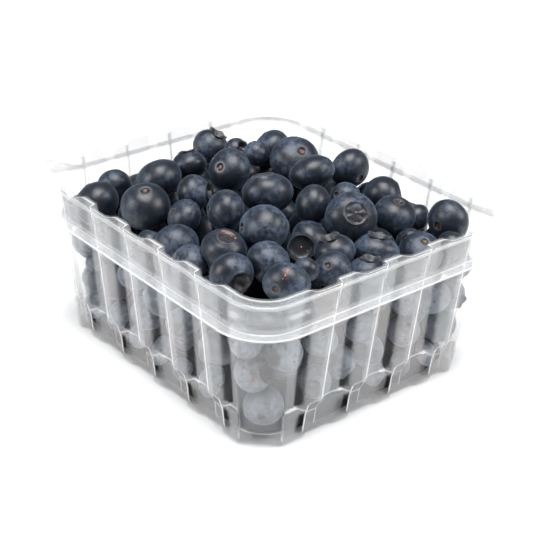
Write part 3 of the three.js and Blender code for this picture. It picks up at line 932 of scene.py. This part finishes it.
# Two tiny ones fill gaps beside the far left corner afterwards: middle x, y, z and diameter.
TINY_BERRIES = [(-41.7, 38.1, 32.9, 7.2), (-41, 36.7, 25.9, 6.2)]
# High like the wall berries', partly as painted light.
TINY_BLOOM = 0.9
draw_state = [20]  # the seed, and after that the last draw


def draw():
    """A repeatable random draw from 0 to 1, by the usual multiply-and-add rule."""
    draw_state[0] = (draw_state[0] * 1664525 + 1013904223) % 2**32
    return draw_state[0] / 2**32


def sign(value):
    """1 or -1."""
    return math.copysign(1.0, value)


def rib_inset(z):
    """How far in from the rim's outer side the ribs stand at a height."""
    return RIM_LAND + RIB + TAPER * (HEIGHT - min(z, HEIGHT))


def keep_inside(b):
    """Keeps a berry inside the ribs' planes, the rounded corners and the floor."""
    inset = rib_inset(b["z"]) + GAP
    half_x, half_y = RIM_X / 2 - inset, RIM_Y / 2 - inset
    corner = max(WALL_CORNER, b["r"] + CORNER_ROOM)
    limit_x, limit_y = half_x - corner, half_y - corner
    b["z"] = max(b["z"], FLOOR_HEIGHT + b["r"])
    if not b["top"]:
        out = max(abs(b["x"]) / half_x, abs(b["y"]) / half_y)
        b["z"] = min(b["z"], HIDDEN_TOP - WALL_DIP * out * out * out * out)
    over_x, over_y = abs(b["x"]) - limit_x, abs(b["y"]) - limit_y
    slack = corner - b["r"]
    if over_x > 0 and over_y > 0:
        over = math.hypot(over_x, over_y)
        if over > slack:
            b["x"] = sign(b["x"]) * (limit_x + over_x * slack / over)
            b["y"] = sign(b["y"]) * (limit_y + over_y * slack / over)
    else:
        b["x"] = sign(b["x"]) * min(abs(b["x"]), limit_x + slack)
        b["y"] = sign(b["y"]) * min(abs(b["y"]), limit_y + slack)


def fixed_berry(x, y, z, across, *look, top):
    """A berry with a place of its own, and its row's bloom and what shows of its ends."""
    place = {"x": x, "y": y, "z": z, "r": across / 2, "fixed": True, "top": top}
    return {**place, **dict(zip(("bloom", "shows", "right", "up"), look))}


def starting_berries():
    """The berries of both tables, and the loose ones in their layers, where there is room."""
    berries = []
    for x, y, rise, *row in TOP_BERRIES:
        berries.append(fixed_berry(x, y, HEIGHT + rise, *row, top=True))
    for row in WALL_BERRIES:
        berries.append(fixed_berry(*row, top=False))
    for berry in berries:
        keep_inside(berry)
    placed = list(berries)
    for layer in range(LAYERS):
        z = FIRST_LAYER + layer * LAYER_STEP
        inset = rib_inset(z) + MEAN_BERRY / 2
        step_x = (RIM_X - 2 * inset) / (ROWS_X - 1)
        step_y = (RIM_Y - 2 * inset) / (ROWS_Y - 1)
        shift = 0.5 * (layer % 2)
        for i in range(ROWS_X):
            for j in range(ROWS_Y):
                b = {"fixed": False, "top": False}
                b["x"] = (i + shift) * step_x - RIM_X / 2 + inset + JITTER * (draw() - 0.5)
                b["y"] = (j + shift) * step_y - RIM_Y / 2 + inset + JITTER * (draw() - 0.5)
                b["z"] = z + JITTER * (draw() - 0.5)
                b["r"] = (MEAN_BERRY + BERRY_SPREAD * (draw() + draw() - 1)) / 2
                spot = (b["x"], b["y"], b["z"])
                if all(
                    math.dist(spot, (o["x"], o["y"], o["z"])) >= CROWDED * (b["r"] + o["r"])
                    for o in placed
                ):
                    berries.append(b)
    return berries


def push_apart(a, b):
    """Moves two overlapping berries until they touch. Fixed ones stay."""
    dx, dy, dz = b["x"] - a["x"], b["y"] - a["y"], b["z"] - a["z"]
    touch = a["r"] + b["r"]
    square = dx * dx + dy * dy + dz * dz
    if square >= touch * touch or (a["fixed"] and b["fixed"]):
        return
    distance = math.sqrt(square)
    push = (touch - distance) / distance
    share = 0.0 if a["fixed"] else 1.0 if b["fixed"] else 0.5
    for name, step in (("x", dx), ("y", dy), ("z", dz)):
        a[name] -= step * push * share
        b[name] += step * push * (1 - share)


def settled_berries():
    """The whole heap, after all rounds of pushing."""
    berries = starting_berries()
    for _ in range(SETTLE_ROUNDS):
        for index, a in enumerate(berries):
            for b in berries[index + 1 :]:
                if max(abs(b["x"] - a["x"]), abs(b["y"] - a["y"])) < NEIGHBOUR:
                    push_apart(a, b)
            if not a["fixed"]:
                keep_inside(a)
    return berries


HEAP = settled_berries()
HEAP += [fixed_berry(*row, TINY_BLOOM, top=False) for row in TINY_BERRIES]
print(len(HEAP), "berries; the last one lies at", [round(HEAP[-1][k], 2) for k in "xyz"])

# %% [markdown]
# ## One berry
#
# A blueberry is a slightly flattened ball. At one end it keeps its crown, the dried flower: a
# collar with five lobes round a shallow crater, standing open or folded in. At the other end is
# the small round scar where its stem was. So one ball is modelled with both, and each berry is
# turned to show the end it should. Four collars give open, folded, worn and very wide crowns.


# %% Crown and scar
# Each end is a row of rings, from the skin to the middle: radius, height above the cap's edge,
# how far the five lobes rise and how far they lean out, how dry and how dark the ring is. All
# but the last two are in shares of the berry's radius.
# Deep in the crater the dark is partly the crown's own colour and partly painted shade.
CROWNS = {
    "open": [
        (0.445, 0.02, 0.0, 0.0, 0.1, 0.0),
        (0.46, 0.045, 0.03, 0.02, 0.6, 0.1),
        (0.49, 0.06, 0.07, 0.06, 1.0, 0.0),
        (0.46, 0.06, 0.06, 0.05, 1.0, 0.0),
        (0.41, 0.0, 0.03, 0.0, 1.0, 0.5),
        (0.33, -0.1, 0.03, 0.02, 1.0, 1.0),
        (0.2, -0.26, 0.0, 0.0, 1.0, 1.0),
        (0.07, -0.36, 0.0, 0.0, 1.0, 1.0),
    ],
    "folded": [
        (0.47, 0.0, 0.0, 0.0, 0.0, 0.0),
        (0.46, 0.03, 0.0, 0.0, 0.55, 0.0),
        (0.43, 0.04, 0.0, 0.0, 0.6, 0.0),
        (0.395, 0.01, 0.005, 0.0, 0.3, 0.3),
        (0.35, -0.015, 0.02, 0.0, 0.3, 0.75),
        (0.3, -0.01, 0.035, 0.02, 0.35, 0.2),
        (0.2, 0.0, 0.02, 0.0, 0.1, 0.25),
        (0.08, 0.005, 0.0, 0.0, 0.1, 0.0),
    ],
    "worn": [
        (0.44, 0.02, 0.0, 0.0, 0.4, 0.0),
        (0.42, 0.035, 0.01, 0.0, 0.9, 0.0),
        (0.38, 0.02, 0.01, 0.0, 1.0, 0.3),
        (0.33, -0.01, 0.0, 0.0, 0.8, 0.7),
        (0.2, -0.015, 0.0, 0.0, 0.5, 0.3),
        (0.08, 0.0, 0.0, 0.0, 0.5, 0.0),
    ],
    "wide": [
        (0.83, 0.04, 0.0, 0.0, 0.3, 0.0),
        (0.81, 0.1, 0.02, 0.01, 0.8, 0.0),
        (0.77, 0.1, 0.02, 0.0, 0.9, 0.2),
        (0.73, 0.02, 0.0, 0.0, 0.5, 0.6),
        (0.66, -0.12, 0.0, 0.0, 0.3, 0.8),
        (0.5, -0.2, 0.0, 0.0, 0.2, 0.75),
        (0.25, -0.22, 0.0, 0.0, 0.2, 0.6),
        (0.1, -0.2, 0.0, 0.0, 0.4, 0.9),
    ],
}
# The scar's rings: radius, depth, how rusty, how dark, and how pale the skin round it is.
# The dark in the scar's hole is partly its own colour and partly painted shade.
SCAR = [
    (0.2, 0.005, 0.0, 0.0, 1.0),
    (0.165, 0.02, 0.0, 0.55, 0.3),
    (0.14, 0.06, 0.0, 1.0, 0.0),
    (0.1, 0.08, 0.05, 1.0, 0.0),
    (0.055, 0.085, 0.55, 0.5, 0.0),
]
PAINTS = ["crown", "pit_dark_and_shade", "scar", "hole", "pale"]
LOBES = 5
LOBE_SWAY = 0.6  # how unevenly the lobes are spaced
WAXY = 0.5  # how pale the skin is at the foot of a crown
DIMPLE = 0.03  # how far the skin draws in round the scar,
DIMPLE_REACH = 0.5  # and how far out from the middle


def select_where(mesh, kind, test):
    """Selects the faces or edges that pass a test, and nothing else."""
    bpy.ops.mesh.select_all(action="DESELECT")
    bm = bmesh.from_edit_mesh(mesh)
    for element in getattr(bm, kind):
        if test(element):
            element.select = True
    bm.select_flush_mode()
    bmesh.update_edit_mesh(mesh)


def open_cap(mesh, in_cap):
    """Deletes the faces whose middle is in the cap, and selects the edge of the hole."""
    select_where(mesh, "faces", lambda face: in_cap(face.calc_center_median()))
    bpy.ops.mesh.delete(type="FACE")
    select_where(mesh, "edges", lambda edge: edge.is_boundary)


def grow_ring(mesh, radius, height, rise, lean, paints):
    """Extrudes the selected ring and lays the new one at a radius and height, with lobes."""
    bpy.ops.mesh.extrude_edges_indiv()
    bm = bmesh.from_edit_mesh(mesh)
    layers = [bm.verts.layers.float[name] for name in PAINTS]
    for vertex in bm.verts:
        if vertex.select:
            angle = math.atan2(vertex.co.y, vertex.co.x)
            wave = math.cos(LOBES * angle + LOBE_SWAY * math.sin(2 * angle))
            lobe = ease(0.5 + 0.5 * wave)
            out = radius + lean * lobe
            place = (math.cos(angle) * out, math.sin(angle) * out, height + rise * lobe)
            vertex.co = Vector(place)
            for layer, paint in zip(layers, paints):
                vertex[layer] = paint
    bmesh.update_edit_mesh(mesh)


def mark(mesh, name, value):
    """Stores the same number at every vertex."""
    layer = mesh.attributes.new(name, "FLOAT", "POINT")
    layer.data.foreach_set("value", [value] * len(mesh.vertices))


def one_berry(name, segments, rings, cap_rings, crown):
    """A berry of radius 1 with its crown at +Z and, if it is fine enough, its scar at -Z."""
    deselect_all()
    bpy.ops.mesh.primitive_uv_sphere_add(segments=segments, ring_count=rings, radius=1)
    berry = bpy.context.object
    berry.name = name
    mesh = berry.data
    for paint in PAINTS:
        mark(mesh, paint, 0.0)
    base = math.cos(math.pi / rings * cap_rings)
    scar_rings = rings // 10
    bpy.ops.object.mode_set(mode="EDIT")
    open_cap(mesh, lambda middle: middle.z > base)
    for index, (radius, height, rise, lean, dry, dark) in enumerate(crown):
        paints = (dry, dark, 0, 0, 0 if index else WAXY)
        grow_ring(mesh, radius, base + height, rise, lean, paints)
    bpy.ops.mesh.merge(type="CENTER")
    if scar_rings:
        tail = -math.cos(math.pi / rings * scar_rings)
        open_cap(mesh, lambda middle: middle.z < tail)
        for radius, depth, rust, dark, pale in SCAR:
            height = -math.sqrt(1 - radius * radius) + depth
            grow_ring(mesh, radius, height, 0, 0, (0, 0, rust, dark, pale))
        bpy.ops.mesh.merge(type="CENTER")
    bpy.ops.mesh.select_all(action="SELECT")
    bpy.ops.mesh.normals_make_consistent(inside=False)
    bpy.ops.object.mode_set(mode="OBJECT")
    for vertex in mesh.vertices:
        if vertex.co.z < 0:
            out = math.hypot(vertex.co.x, vertex.co.y)
            vertex.co.z += DIMPLE * ease(1 - out / DIMPLE_REACH)
    return berry


# %% The kinds of berry
# Segments, rings, how many of them the crown replaces, and the crown: four fine ones, one for
# the hidden berries that are glimpsed from above, and one for those behind the plastic.
KIND_SIZES = {
    "open": (40, 20, 3, CROWNS["open"]),
    "folded": (40, 20, 3, CROWNS["folded"]),
    "worn": (40, 20, 3, CROWNS["worn"]),
    "wide": (40, 20, 6, CROWNS["wide"]),
    "coarse": (24, 12, 2, CROWNS["folded"]),
    "plain": (12, 7, 1, CROWNS["worn"][3:4]),
}
KINDS = {name: one_berry(name, *row) for name, row in KIND_SIZES.items()}
print({name: len(berry.data.polygons) for name, berry in KINDS.items()}, "faces")

# %% [markdown]
# ## The whole heap
#
# Each berry is a copy of one of these, with a mesh of its own: flattened, turned, made uneven by
# soft noise and set in its place. Copies of a kind are joined into one piece. The two ends lie on
# opposite sides, so showing a scar means turning the crown away.


# %% Shapes of single berries
SQUASH = (0.86, 0.96)  # from the flattest berry to the roundest
FILL = 0.985  # a berry's radius here, as a share of the space it takes in the heap
LUMPS = 0.045  # unevenness, in shares of a berry's radius
LUMP_WAVES = 0.9
LUMP_STEP = Vector((3.1, 5.3, 7.7))  # takes each berry to another part of the noise
LUMP_SEED = 5
noise.seed_set(LUMP_SEED)  # unseeded, the vector noise differs from run to run
SHOWS_ABOVE = 36  # hidden berries above this are glimpsed in the gaps of the top ones
CROWN_TURN = 2.4  # from each hidden berry to the next, in radians, as are the next two
TILT_STEP = 1.7
SPIN_STEP = 1.1
FLAT_STEP = 0.618
BLOOM_STEP = 0.37
# Some berries grew squeezed. For these rows of the table: the angle of the long side above the
# level, as it is seen, and the stretch along it and across it.
SHAPES = {
    3: (0, 1.05, 0.9),
    4: (0, 1.05, 0.88),
    6: (15, 1.08, 0.85),
    8: (90, 1.06, 0.93),
    26: (5, 1.06, 0.92),
    30: (0, 1.04, 0.93),
    31: (-5, 1.08, 0.9),
    33: (5, 1.12, 0.88),
}


def scatter(index, step):
    """A share from 0 to 1 that jumps about as the index goes up."""
    return (step * index) % 1


def seen_direction(right, up):
    """From a berry's middle to a place on its near side: to the right and up, in radii."""
    flat = max(math.hypot(right, up), 1)
    right, up = right / flat, up / flat
    near = math.sqrt(max(1 - right * right - up * up, 0))
    return (EYE_RIGHT * right + EYE_UP * up + EYE_TOWARDS * near).normalized()


def pole_direction(berry, index):
    """The way a berry's crown points."""
    if "shows" not in berry:
        angle = CROWN_TURN * index
        if berry["z"] > SHOWS_ABOVE:  # glimpsed from above: both ends stay out of sight
            return EYE_RIGHT * math.cos(angle) + EYE_UP * math.sin(angle)
        tilt = math.sin(TILT_STEP * index)
        level = math.sqrt(1 - tilt * tilt)
        return Vector((math.cos(angle) * level, math.sin(angle) * level, tilt))
    if berry["shows"] == "none":
        return (EYE_RIGHT * berry["right"] + EYE_UP * berry["up"]).normalized()
    pole = seen_direction(berry["right"], berry["up"])
    return -pole if berry["shows"] == "scar" else pole


print("the first crown points to", [round(v, 2) for v in pole_direction(HEAP[0], 0)])

# %% Bloom and painted wall light
# Painted light: a berry behind the walls gets a paler skin, for the light through the plastic.
WALL_LIGHT_FADES = 26  # from this height up, a loose berry can be seen over the rim as well
SECOND_ROW = 4.0  # this far behind the wall, a berry is behind another one,
WALL_REACH = 9.0  # and this far behind, it can't be seen at all
HIDDEN_BLOOM = (0.4, 1.0)
# Almost no bloom for loose berries glimpsed in the gaps: painted shade between top berries.
GAP_SHADE_BLOOM = (0.0, 0.08)
SECOND_ROW_SHADE = 0.5


def wall_gap(berry):
    """The free space between a berry and the nearest wall."""
    inset = rib_inset(berry["z"]) + GAP
    to_x = RIM_X / 2 - inset - abs(berry["x"])
    to_y = RIM_Y / 2 - inset - abs(berry["y"])
    return min(to_x, to_y) - berry["r"]


def bloom_of(berry, index):
    """How much bloom a berry has, by table or a rule, which takes bloom away as painted shade."""
    share = scatter(index, BLOOM_STEP)
    if "bloom" in berry:
        return berry["bloom"]
    if berry["z"] > SHOWS_ABOVE:
        # Glimpsed in the gaps of the top berries: nearly bare skin, as painted shade.
        return mix(*GAP_SHADE_BLOOM, share)
    # A berry behind another one from the wall gets half the bloom, as painted shade.
    shade = SECOND_ROW_SHADE if wall_gap(berry) > SECOND_ROW else 1.0
    return mix(*HIDDEN_BLOOM, share) * shade


def wall_light_of(berry):
    """How much painted light a berry gets: none on top, less on a loose one high by a wall."""
    if berry["top"]:
        return 0.0
    if berry["fixed"]:
        return 1.0
    return 1.0 - ease((berry["z"] - WALL_LIGHT_FADES) / (SHOWS_ABOVE - WALL_LIGHT_FADES))


print(sum(wall_gap(berry) < WALL_REACH for berry in HEAP), "berries lie near a wall")

# %% A berry in its place
def set_berry(berry, index, kind):
    """A copy of a kind of berry, flattened, turned, uneven and in place."""
    copy = KINDS[kind].copy()
    copy.data = KINDS[kind].data.copy()
    bpy.context.scene.collection.objects.link(copy)
    pole = pole_direction(berry, index)
    spin = Matrix.Rotation(SPIN_STEP * index, 3, "Z")
    turn = pole.to_track_quat("Z", "Y").to_matrix() @ spin
    flat = mix(*SQUASH, scatter(index, FLAT_STEP))
    wide = 1 / flat**0.5
    angle, long, short = SHAPES.get(index, (0, 1, 1))
    along = EYE_RIGHT * math.cos(math.radians(angle)) + EYE_UP * math.sin(math.radians(angle))
    across = EYE_TOWARDS.cross(along)
    middle = Vector((berry["x"], berry["y"], berry["z"]))
    own_part = LUMP_STEP * index
    for vertex in copy.data.vertices:
        lump = noise.noise_vector(vertex.co * LUMP_WAVES + own_part) * LUMPS
        shape = Vector((vertex.co.x * wide, vertex.co.y * wide, vertex.co.z * flat)) + lump
        shape = turn @ shape
        shape += along * shape.dot(along) * (long - 1) + across * shape.dot(across) * (short - 1)
        vertex.co = (middle + shape * berry["r"] * FILL) * MM
    mark(copy.data, "bloom", bloom_of(berry, index))
    # A berry behind the walls is painted lighter, as if lit through the plastic.
    mark(copy.data, "wall_light", wall_light_of(berry))
    return copy


# %% The pieces of the heap
BERRY_SMOOTH = math.radians(60)  # sharper edges than this stay sharp


def piece_and_kind(berry):
    """The piece that a berry belongs to and the kind it is copied from, or nothing."""
    if berry["fixed"]:
        kind = berry.get("shows", "coarse")
        kind = "folded" if kind in ("scar", "none") else kind
        return ("top_berries" if berry["top"] else "wall_berries"), kind
    if berry["z"] > SHOWS_ABOVE:
        return "upper_berries", "coarse"
    return ("lower_berries", "plain") if wall_gap(berry) < WALL_REACH else None


def join_piece(name, copies):
    """Joins copies into one piece that stands for the heap's node."""
    deselect_all()
    for copy in copies:
        copy.select_set(True)
    bpy.context.view_layer.objects.active = copies[0]
    bpy.ops.object.join()
    piece = bpy.context.object
    piece.name = name
    bpy.ops.object.shade_smooth_by_angle(angle=BERRY_SMOOTH)
    print(name, len(copies), "joined,", len(piece.data.polygons), "faces")
    return piece


parts = {"top_berries": [], "wall_berries": [], "upper_berries": [], "lower_berries": []}
for index, berry in enumerate(HEAP):
    place = piece_and_kind(berry)
    if place:
        parts[place[0]].append(set_berry(berry, index, place[1]))
PIECES = [join_piece(name, copies) for name, copies in parts.items()]
for kind in KINDS.values():
    bpy.data.objects.remove(kind)

# %% [markdown]
# ## Rusty flecks and dark specks
#
# Here and there dried flesh shows through a scratch or on a folded crown, in bright rusty dots,
# and two berries by the near corner carry small specks of dirt. They could be painted into the
# skin with a mask, but as small flat beads pressed into the skin they stay sharp. Each has its
# berry's number in the heap, its place on that berry, as for the crowns, how deep below the
# surface it sits, in shares of the berry's radius, and its size in millimetres.

# %% Flecks
FLECKS = [
    (0, 0.16, 0.2, 0.09, 0.32),
    (0, 0.52, -0.1, 0.0, 0.24),
    (0, 0.17, -0.24, 0.0, 0.26),
    (23, -0.05, 0.85, 0.0, 0.4),
    (23, 0.03, 0.82, 0.0, 0.25),
    (23, 0.2, 0.74, 0.02, 0.5),
    (23, 0.27, 0.7, 0.02, 0.38),
    (23, 0.36, 0.62, 0.02, 0.24),
    (23, 0.55, 0.5, 0.0, 0.4),
    (26, 0.06, 0.62, 0.0, 0.52),
    (26, 0.03, 0.56, 0.0, 0.42),
    (26, 0.01, 0.49, 0.0, 0.26),
    (26, -0.06, 0.4, 0.0, 0.34),
    (26, -0.1, 0.34, 0.0, 0.2),
    (26, -0.17, 0.24, 0.0, 0.22),
    (26, 0.17, 0.58, 0.0, 0.22),
    (26, 0.29, 0.55, 0.0, 0.28),
    (29, 0.07, 0.08, 0.2, 0.3),
    (29, 0.5, -0.2, 0.12, 0.26),
    (43, 0.0, -0.4, 0.0, 0.5),
    (43, 0.3, 0.0, 0.0, 0.5),
    (49, -0.2, -0.1, 0.0, 0.45),
]
SPECKS = [
    (44, 0.48, -0.47, -0.05, 0.4),
    (44, 0.7, -0.4, -0.05, 0.28),
    (45, -0.6, -0.1, -0.05, 0.45),
]
FLECK_SHAPE = (1.0, 0.7, 0.35)
FLECK_SPIN = 1.3


def fleck(number, right, up, depth, size):
    """A flat bead on a berry's skin, at a place seen from the front."""
    berry = HEAP[number]
    out = seen_direction(right, up)
    middle = Vector((berry["x"], berry["y"], berry["z"])) + out * berry["r"] * (FILL - depth)
    deselect_all()
    bpy.ops.mesh.primitive_ico_sphere_add(subdivisions=2, radius=size)
    bead = bpy.context.object
    bpy.ops.object.mode_set(mode="EDIT")
    bpy.ops.transform.resize(value=FLECK_SHAPE)
    bpy.ops.object.mode_set(mode="OBJECT")
    spin = Matrix.Rotation(FLECK_SPIN * size * number, 3, "Z")
    turn = out.to_track_quat("Z", "Y").to_matrix() @ spin
    for vertex in bead.data.vertices:
        vertex.co = (middle + turn @ vertex.co) * MM
    for paint in PAINTS + ["bloom", "wall_light"]:
        mark(bead.data, paint, 0.0)
    return bead


rust = join_piece("rusty_flecks", [fleck(*row) for row in FLECKS])
specks = join_piece("dark_specks", [fleck(*row) for row in SPECKS])
PIECES += [rust, specks]

# %% [markdown]
# ## The heap's core
#
# Behind the berries that show there are only more berries in the dark. A dark, lumpy core stands
# for them, so that no light falls through the heap. It starts as a cube at the heap's size, is
# subdivided, drawn in towards the floor like the walls, and crowned at the top.

# %% Core
CORE_BOTTOM = 1.3
CORE_TOP = 41.0
CORE_MIDDLE = (CORE_BOTTOM + CORE_TOP) / 2
CORE_INSET = 8.0
CORE_CORNER = 12.0
CORE_BEVEL = 0.12
CORE_CUTS = 5
CORE_LUMPS = 1.6
LUMPS_PER_MM = 0.11
CROWN_FROM = 33  # from here up the core draws in, by this much at its top
CROWN_DRAW = 5
FOOT_FROM = 12  # from here down it widens, over this height and by this much
FOOT_FADE = 5
FOOT_DRAW = 8.2
FOOT_CORNER = 5  # what the upright edges' radius grows by there


def core_foot(z):
    """How much of the foot's widening there is at a height, from 0 to 1."""
    return ease((FOOT_FROM - z) / FOOT_FADE)


def core_half(extent, z):
    """Half the core's width at a height, for a rim of this extent."""
    crown = CROWN_DRAW * ease((z - CROWN_FROM) / (CORE_TOP - CROWN_FROM)) ** 2
    return extent / 2 - rib_inset(z) - CORE_INSET - crown + FOOT_DRAW * core_foot(z)


def core_place(corner):
    """Where a point of the cube goes: to the tray's plan, with rounded upright edges."""
    z = CORE_MIDDLE + corner.z * (CORE_TOP - CORE_BOTTOM) / 2
    half_x, half_y = core_half(RIM_X, z), core_half(RIM_Y, z)
    x, y = corner.x * half_x, corner.y * half_y
    radius = CORE_CORNER + FOOT_CORNER * core_foot(z)
    over_x, over_y = abs(x) - half_x + radius, abs(y) - half_y + radius
    over = math.hypot(over_x, over_y)
    if over_x > 0 and over_y > 0 and over > radius:
        x -= sign(x) * over_x * (1 - radius / over)
        y -= sign(y) * over_y * (1 - radius / over)
    return Vector((x, y, z))


deselect_all()
bpy.ops.mesh.primitive_cube_add(size=2, location=(0, 0, 0))
core = bpy.context.object
core.name = "heap_core"
bpy.ops.object.mode_set(mode="EDIT")
bpy.ops.mesh.select_all(action="SELECT")
bpy.ops.mesh.bevel(offset=CORE_BEVEL, segments=3, affect="EDGES")
bpy.ops.mesh.subdivide(number_cuts=CORE_CUTS)
bpy.ops.object.mode_set(mode="OBJECT")
for vertex in core.data.vertices:
    place = core_place(vertex.co)
    lump = noise.noise(place * LUMPS_PER_MM) * CORE_LUMPS
    vertex.co = (place + Vector((place.x, place.y, 0)).normalized() * lump) * MM
bpy.ops.object.shade_smooth_by_angle(angle=BERRY_SMOOTH)
PIECES.append(core)
print("core:", len(core.data.polygons), "faces")

# %% [markdown]
# ## Blueberry skin
#
# The skin is almost black. What makes a blueberry blue-grey is its bloom, a thin coat of wax that
# scatters light. It gathers in the lee of the crown, is thin where berries rubbed, and is
# scratched everywhere. So the colour is a mix of dark skin and pale bloom, and the mix comes from
# each berry's own amount, soft clouds, fine mottling and a few dark scratches.
# The crown is dry and brown, and the scar shows rusty flesh. Deep in the crater and in the scar's
# hole the near-black is partly their own colour and partly painted shade.

# %% Skin material
SKIN_DARK = (0.005, 0.007, 0.013, 1)
SKIN_BLOOM = (0.05, 0.071, 0.108, 1)
CROWN_DRY = (0.075, 0.066, 0.062, 1)
# Near-black: the crown's own darkest grain, which also paints shade in the crater and scar hole.
CROWN_DARK_AND_PIT_SHADE = (0.003, 0.0025, 0.003, 1)
SCAR_RUST = (0.34, 0.095, 0.015, 1)
SCAR_LIP = (0.11, 0.12, 0.14, 1)
# Painted light: the paler skin of berries behind the walls, for the light through the plastic.
WALL_LIT_BLOOM = (0.225, 0.254, 0.292, 1)
WALL_LIT_SKIN = (0.075, 0.087, 0.107, 1)
# Of each noise: scale, detail, stretch and roughness, and which range of it gives which range
# of bloom. The clouds, the mottling and the scratches are multiplied, and dust is added.
CLOUDS = (130.0, 3.0, (1, 1, 1), 0.5, (0.4, 0.6, 0.05, 1.12))
MOTTLE = (700.0, 5.0, (1, 1, 1), 0.7, (0.39, 0.61, 0.08, 1.45))
SCRATCHES = (300.0, 6.0, (1.0, 3.2, 1.6), 0.8, (0.35, 0.46, 0.1, 1.0))
DUST = (1700.0, 2.0, (1, 1, 1), 0.5, (0.64, 0.72, 0.0, 0.35))
DRY_GRAIN = (1500.0, 2.0, (1, 1, 1), 0.5, (0.45, 0.6))
BLOOM_AMOUNT = (0.15, 1.45)  # for a berry whose own bloom is 0, and for one whose is 1
SKIN_ROUGHNESS = (0.36, 0.52)  # of the bare skin, and of the bloom
PORES_SCALE = 420.0
PORES_STRENGTH = 0.3
PORES_DEPTH = 0.3 * MM
SHEEN = {"Sheen Weight": 0.14, "Sheen Roughness": 0.4, "Sheen Tint": (0.56, 0.75, 1.0, 1)}


def noise_layer(tree, scale, detail, stretch, roughness, ends):
    """A noise with its range stretched over another."""
    return map_range(tree, object_noise(tree, scale, detail, stretch, roughness), *ends)


skin, shader = new_material("blueberry_skin")
tree = skin.node_tree
bloom = map_range(tree, attribute(tree, "bloom"), 0.0, 1.0, *BLOOM_AMOUNT)
for row in (CLOUDS, MOTTLE, SCRATCHES):
    bloom = math_node(tree, "MULTIPLY", bloom, noise_layer(tree, *row))
bloom = math_node(tree, "ADD", bloom, noise_layer(tree, *DUST), clamp=True)
colour = mix_colours(tree, bloom, SKIN_DARK, SKIN_BLOOM)
wall_lit = mix_colours(tree, bloom, WALL_LIT_SKIN, WALL_LIT_BLOOM)
dry = mix_colours(tree, noise_layer(tree, *DRY_GRAIN), CROWN_DRY, CROWN_DARK_AND_PIT_SHADE)
# Deep in the crater the dry colour turns near-black: partly its own dark, partly painted shade.
dry = mix_colours(tree, attribute(tree, "pit_dark_and_shade"), dry, CROWN_DARK_AND_PIT_SHADE)
# Each attribute lays a colour over those before it, as strongly as the number says.
COATS = [
    # Berries behind the walls: painted light.
    ("wall_light", 1.0, wall_lit),
    ("crown", 0.8, dry),
    ("pale", 0.5, SCAR_LIP),
    # The scar's hole: partly its own dark, partly painted shade.
    ("hole", 1.0, CROWN_DARK_AND_PIT_SHADE),
    ("scar", 1.0, SCAR_RUST),
]
for name, strength, coat in COATS:
    share = math_node(tree, "MULTIPLY", attribute(tree, name), strength)
    colour = mix_colours(tree, share, colour, coat)
pores = object_noise(tree, PORES_SCALE, 5.0, roughness=0.6)
finish = {
    "Base Color": colour,
    "Roughness": map_range(tree, bloom, 0.0, 1.0, *SKIN_ROUGHNESS),
    "Specular IOR Level": 0.5,
    "Normal": bumped(tree, pores, PORES_STRENGTH, PORES_DEPTH),
}
set_inputs(shader, {**finish, **SHEEN})
print("skin:", len(tree.nodes), "nodes")


# %% The shaded skin of the core and the dirt, and the rusty flesh
def two_tone(name, scale, colours, finish):
    """A dull material that is mottled in two colours."""
    material, shader = new_material(name)
    tree = material.node_tree
    tone = mix_colours(tree, object_noise(tree, scale), *colours)
    set_inputs(shader, {"Base Color": tone, **finish})
    return material


SHADE_GRAIN = 150.0
RUST_GRAIN = 900.0
SHADE_TONES = [(0.001, 0.0012, 0.002, 1), (0.002, 0.0025, 0.004, 1)]
RUST_TONES = [(0.6, 0.2, 0.04, 1), (0.25, 0.07, 0.015, 1)]
SHADE_FINISH = {"Roughness": 0.8, "Specular IOR Level": 0.0}
shade = two_tone("shaded_skin", SHADE_GRAIN, SHADE_TONES, SHADE_FINISH)
rusty = two_tone("rusty_flesh", RUST_GRAIN, RUST_TONES, {"Roughness": 0.6})
MATERIALS = {core: shade, specks: shade, rust: rusty}

for piece in PIECES:
    piece.data.materials.clear()
    piece.data.materials.append(MATERIALS.get(piece, skin))
    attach(piece, "root")
    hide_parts("blueberries")
print("pieces of the heap:", [piece.name for piece in PIECES])
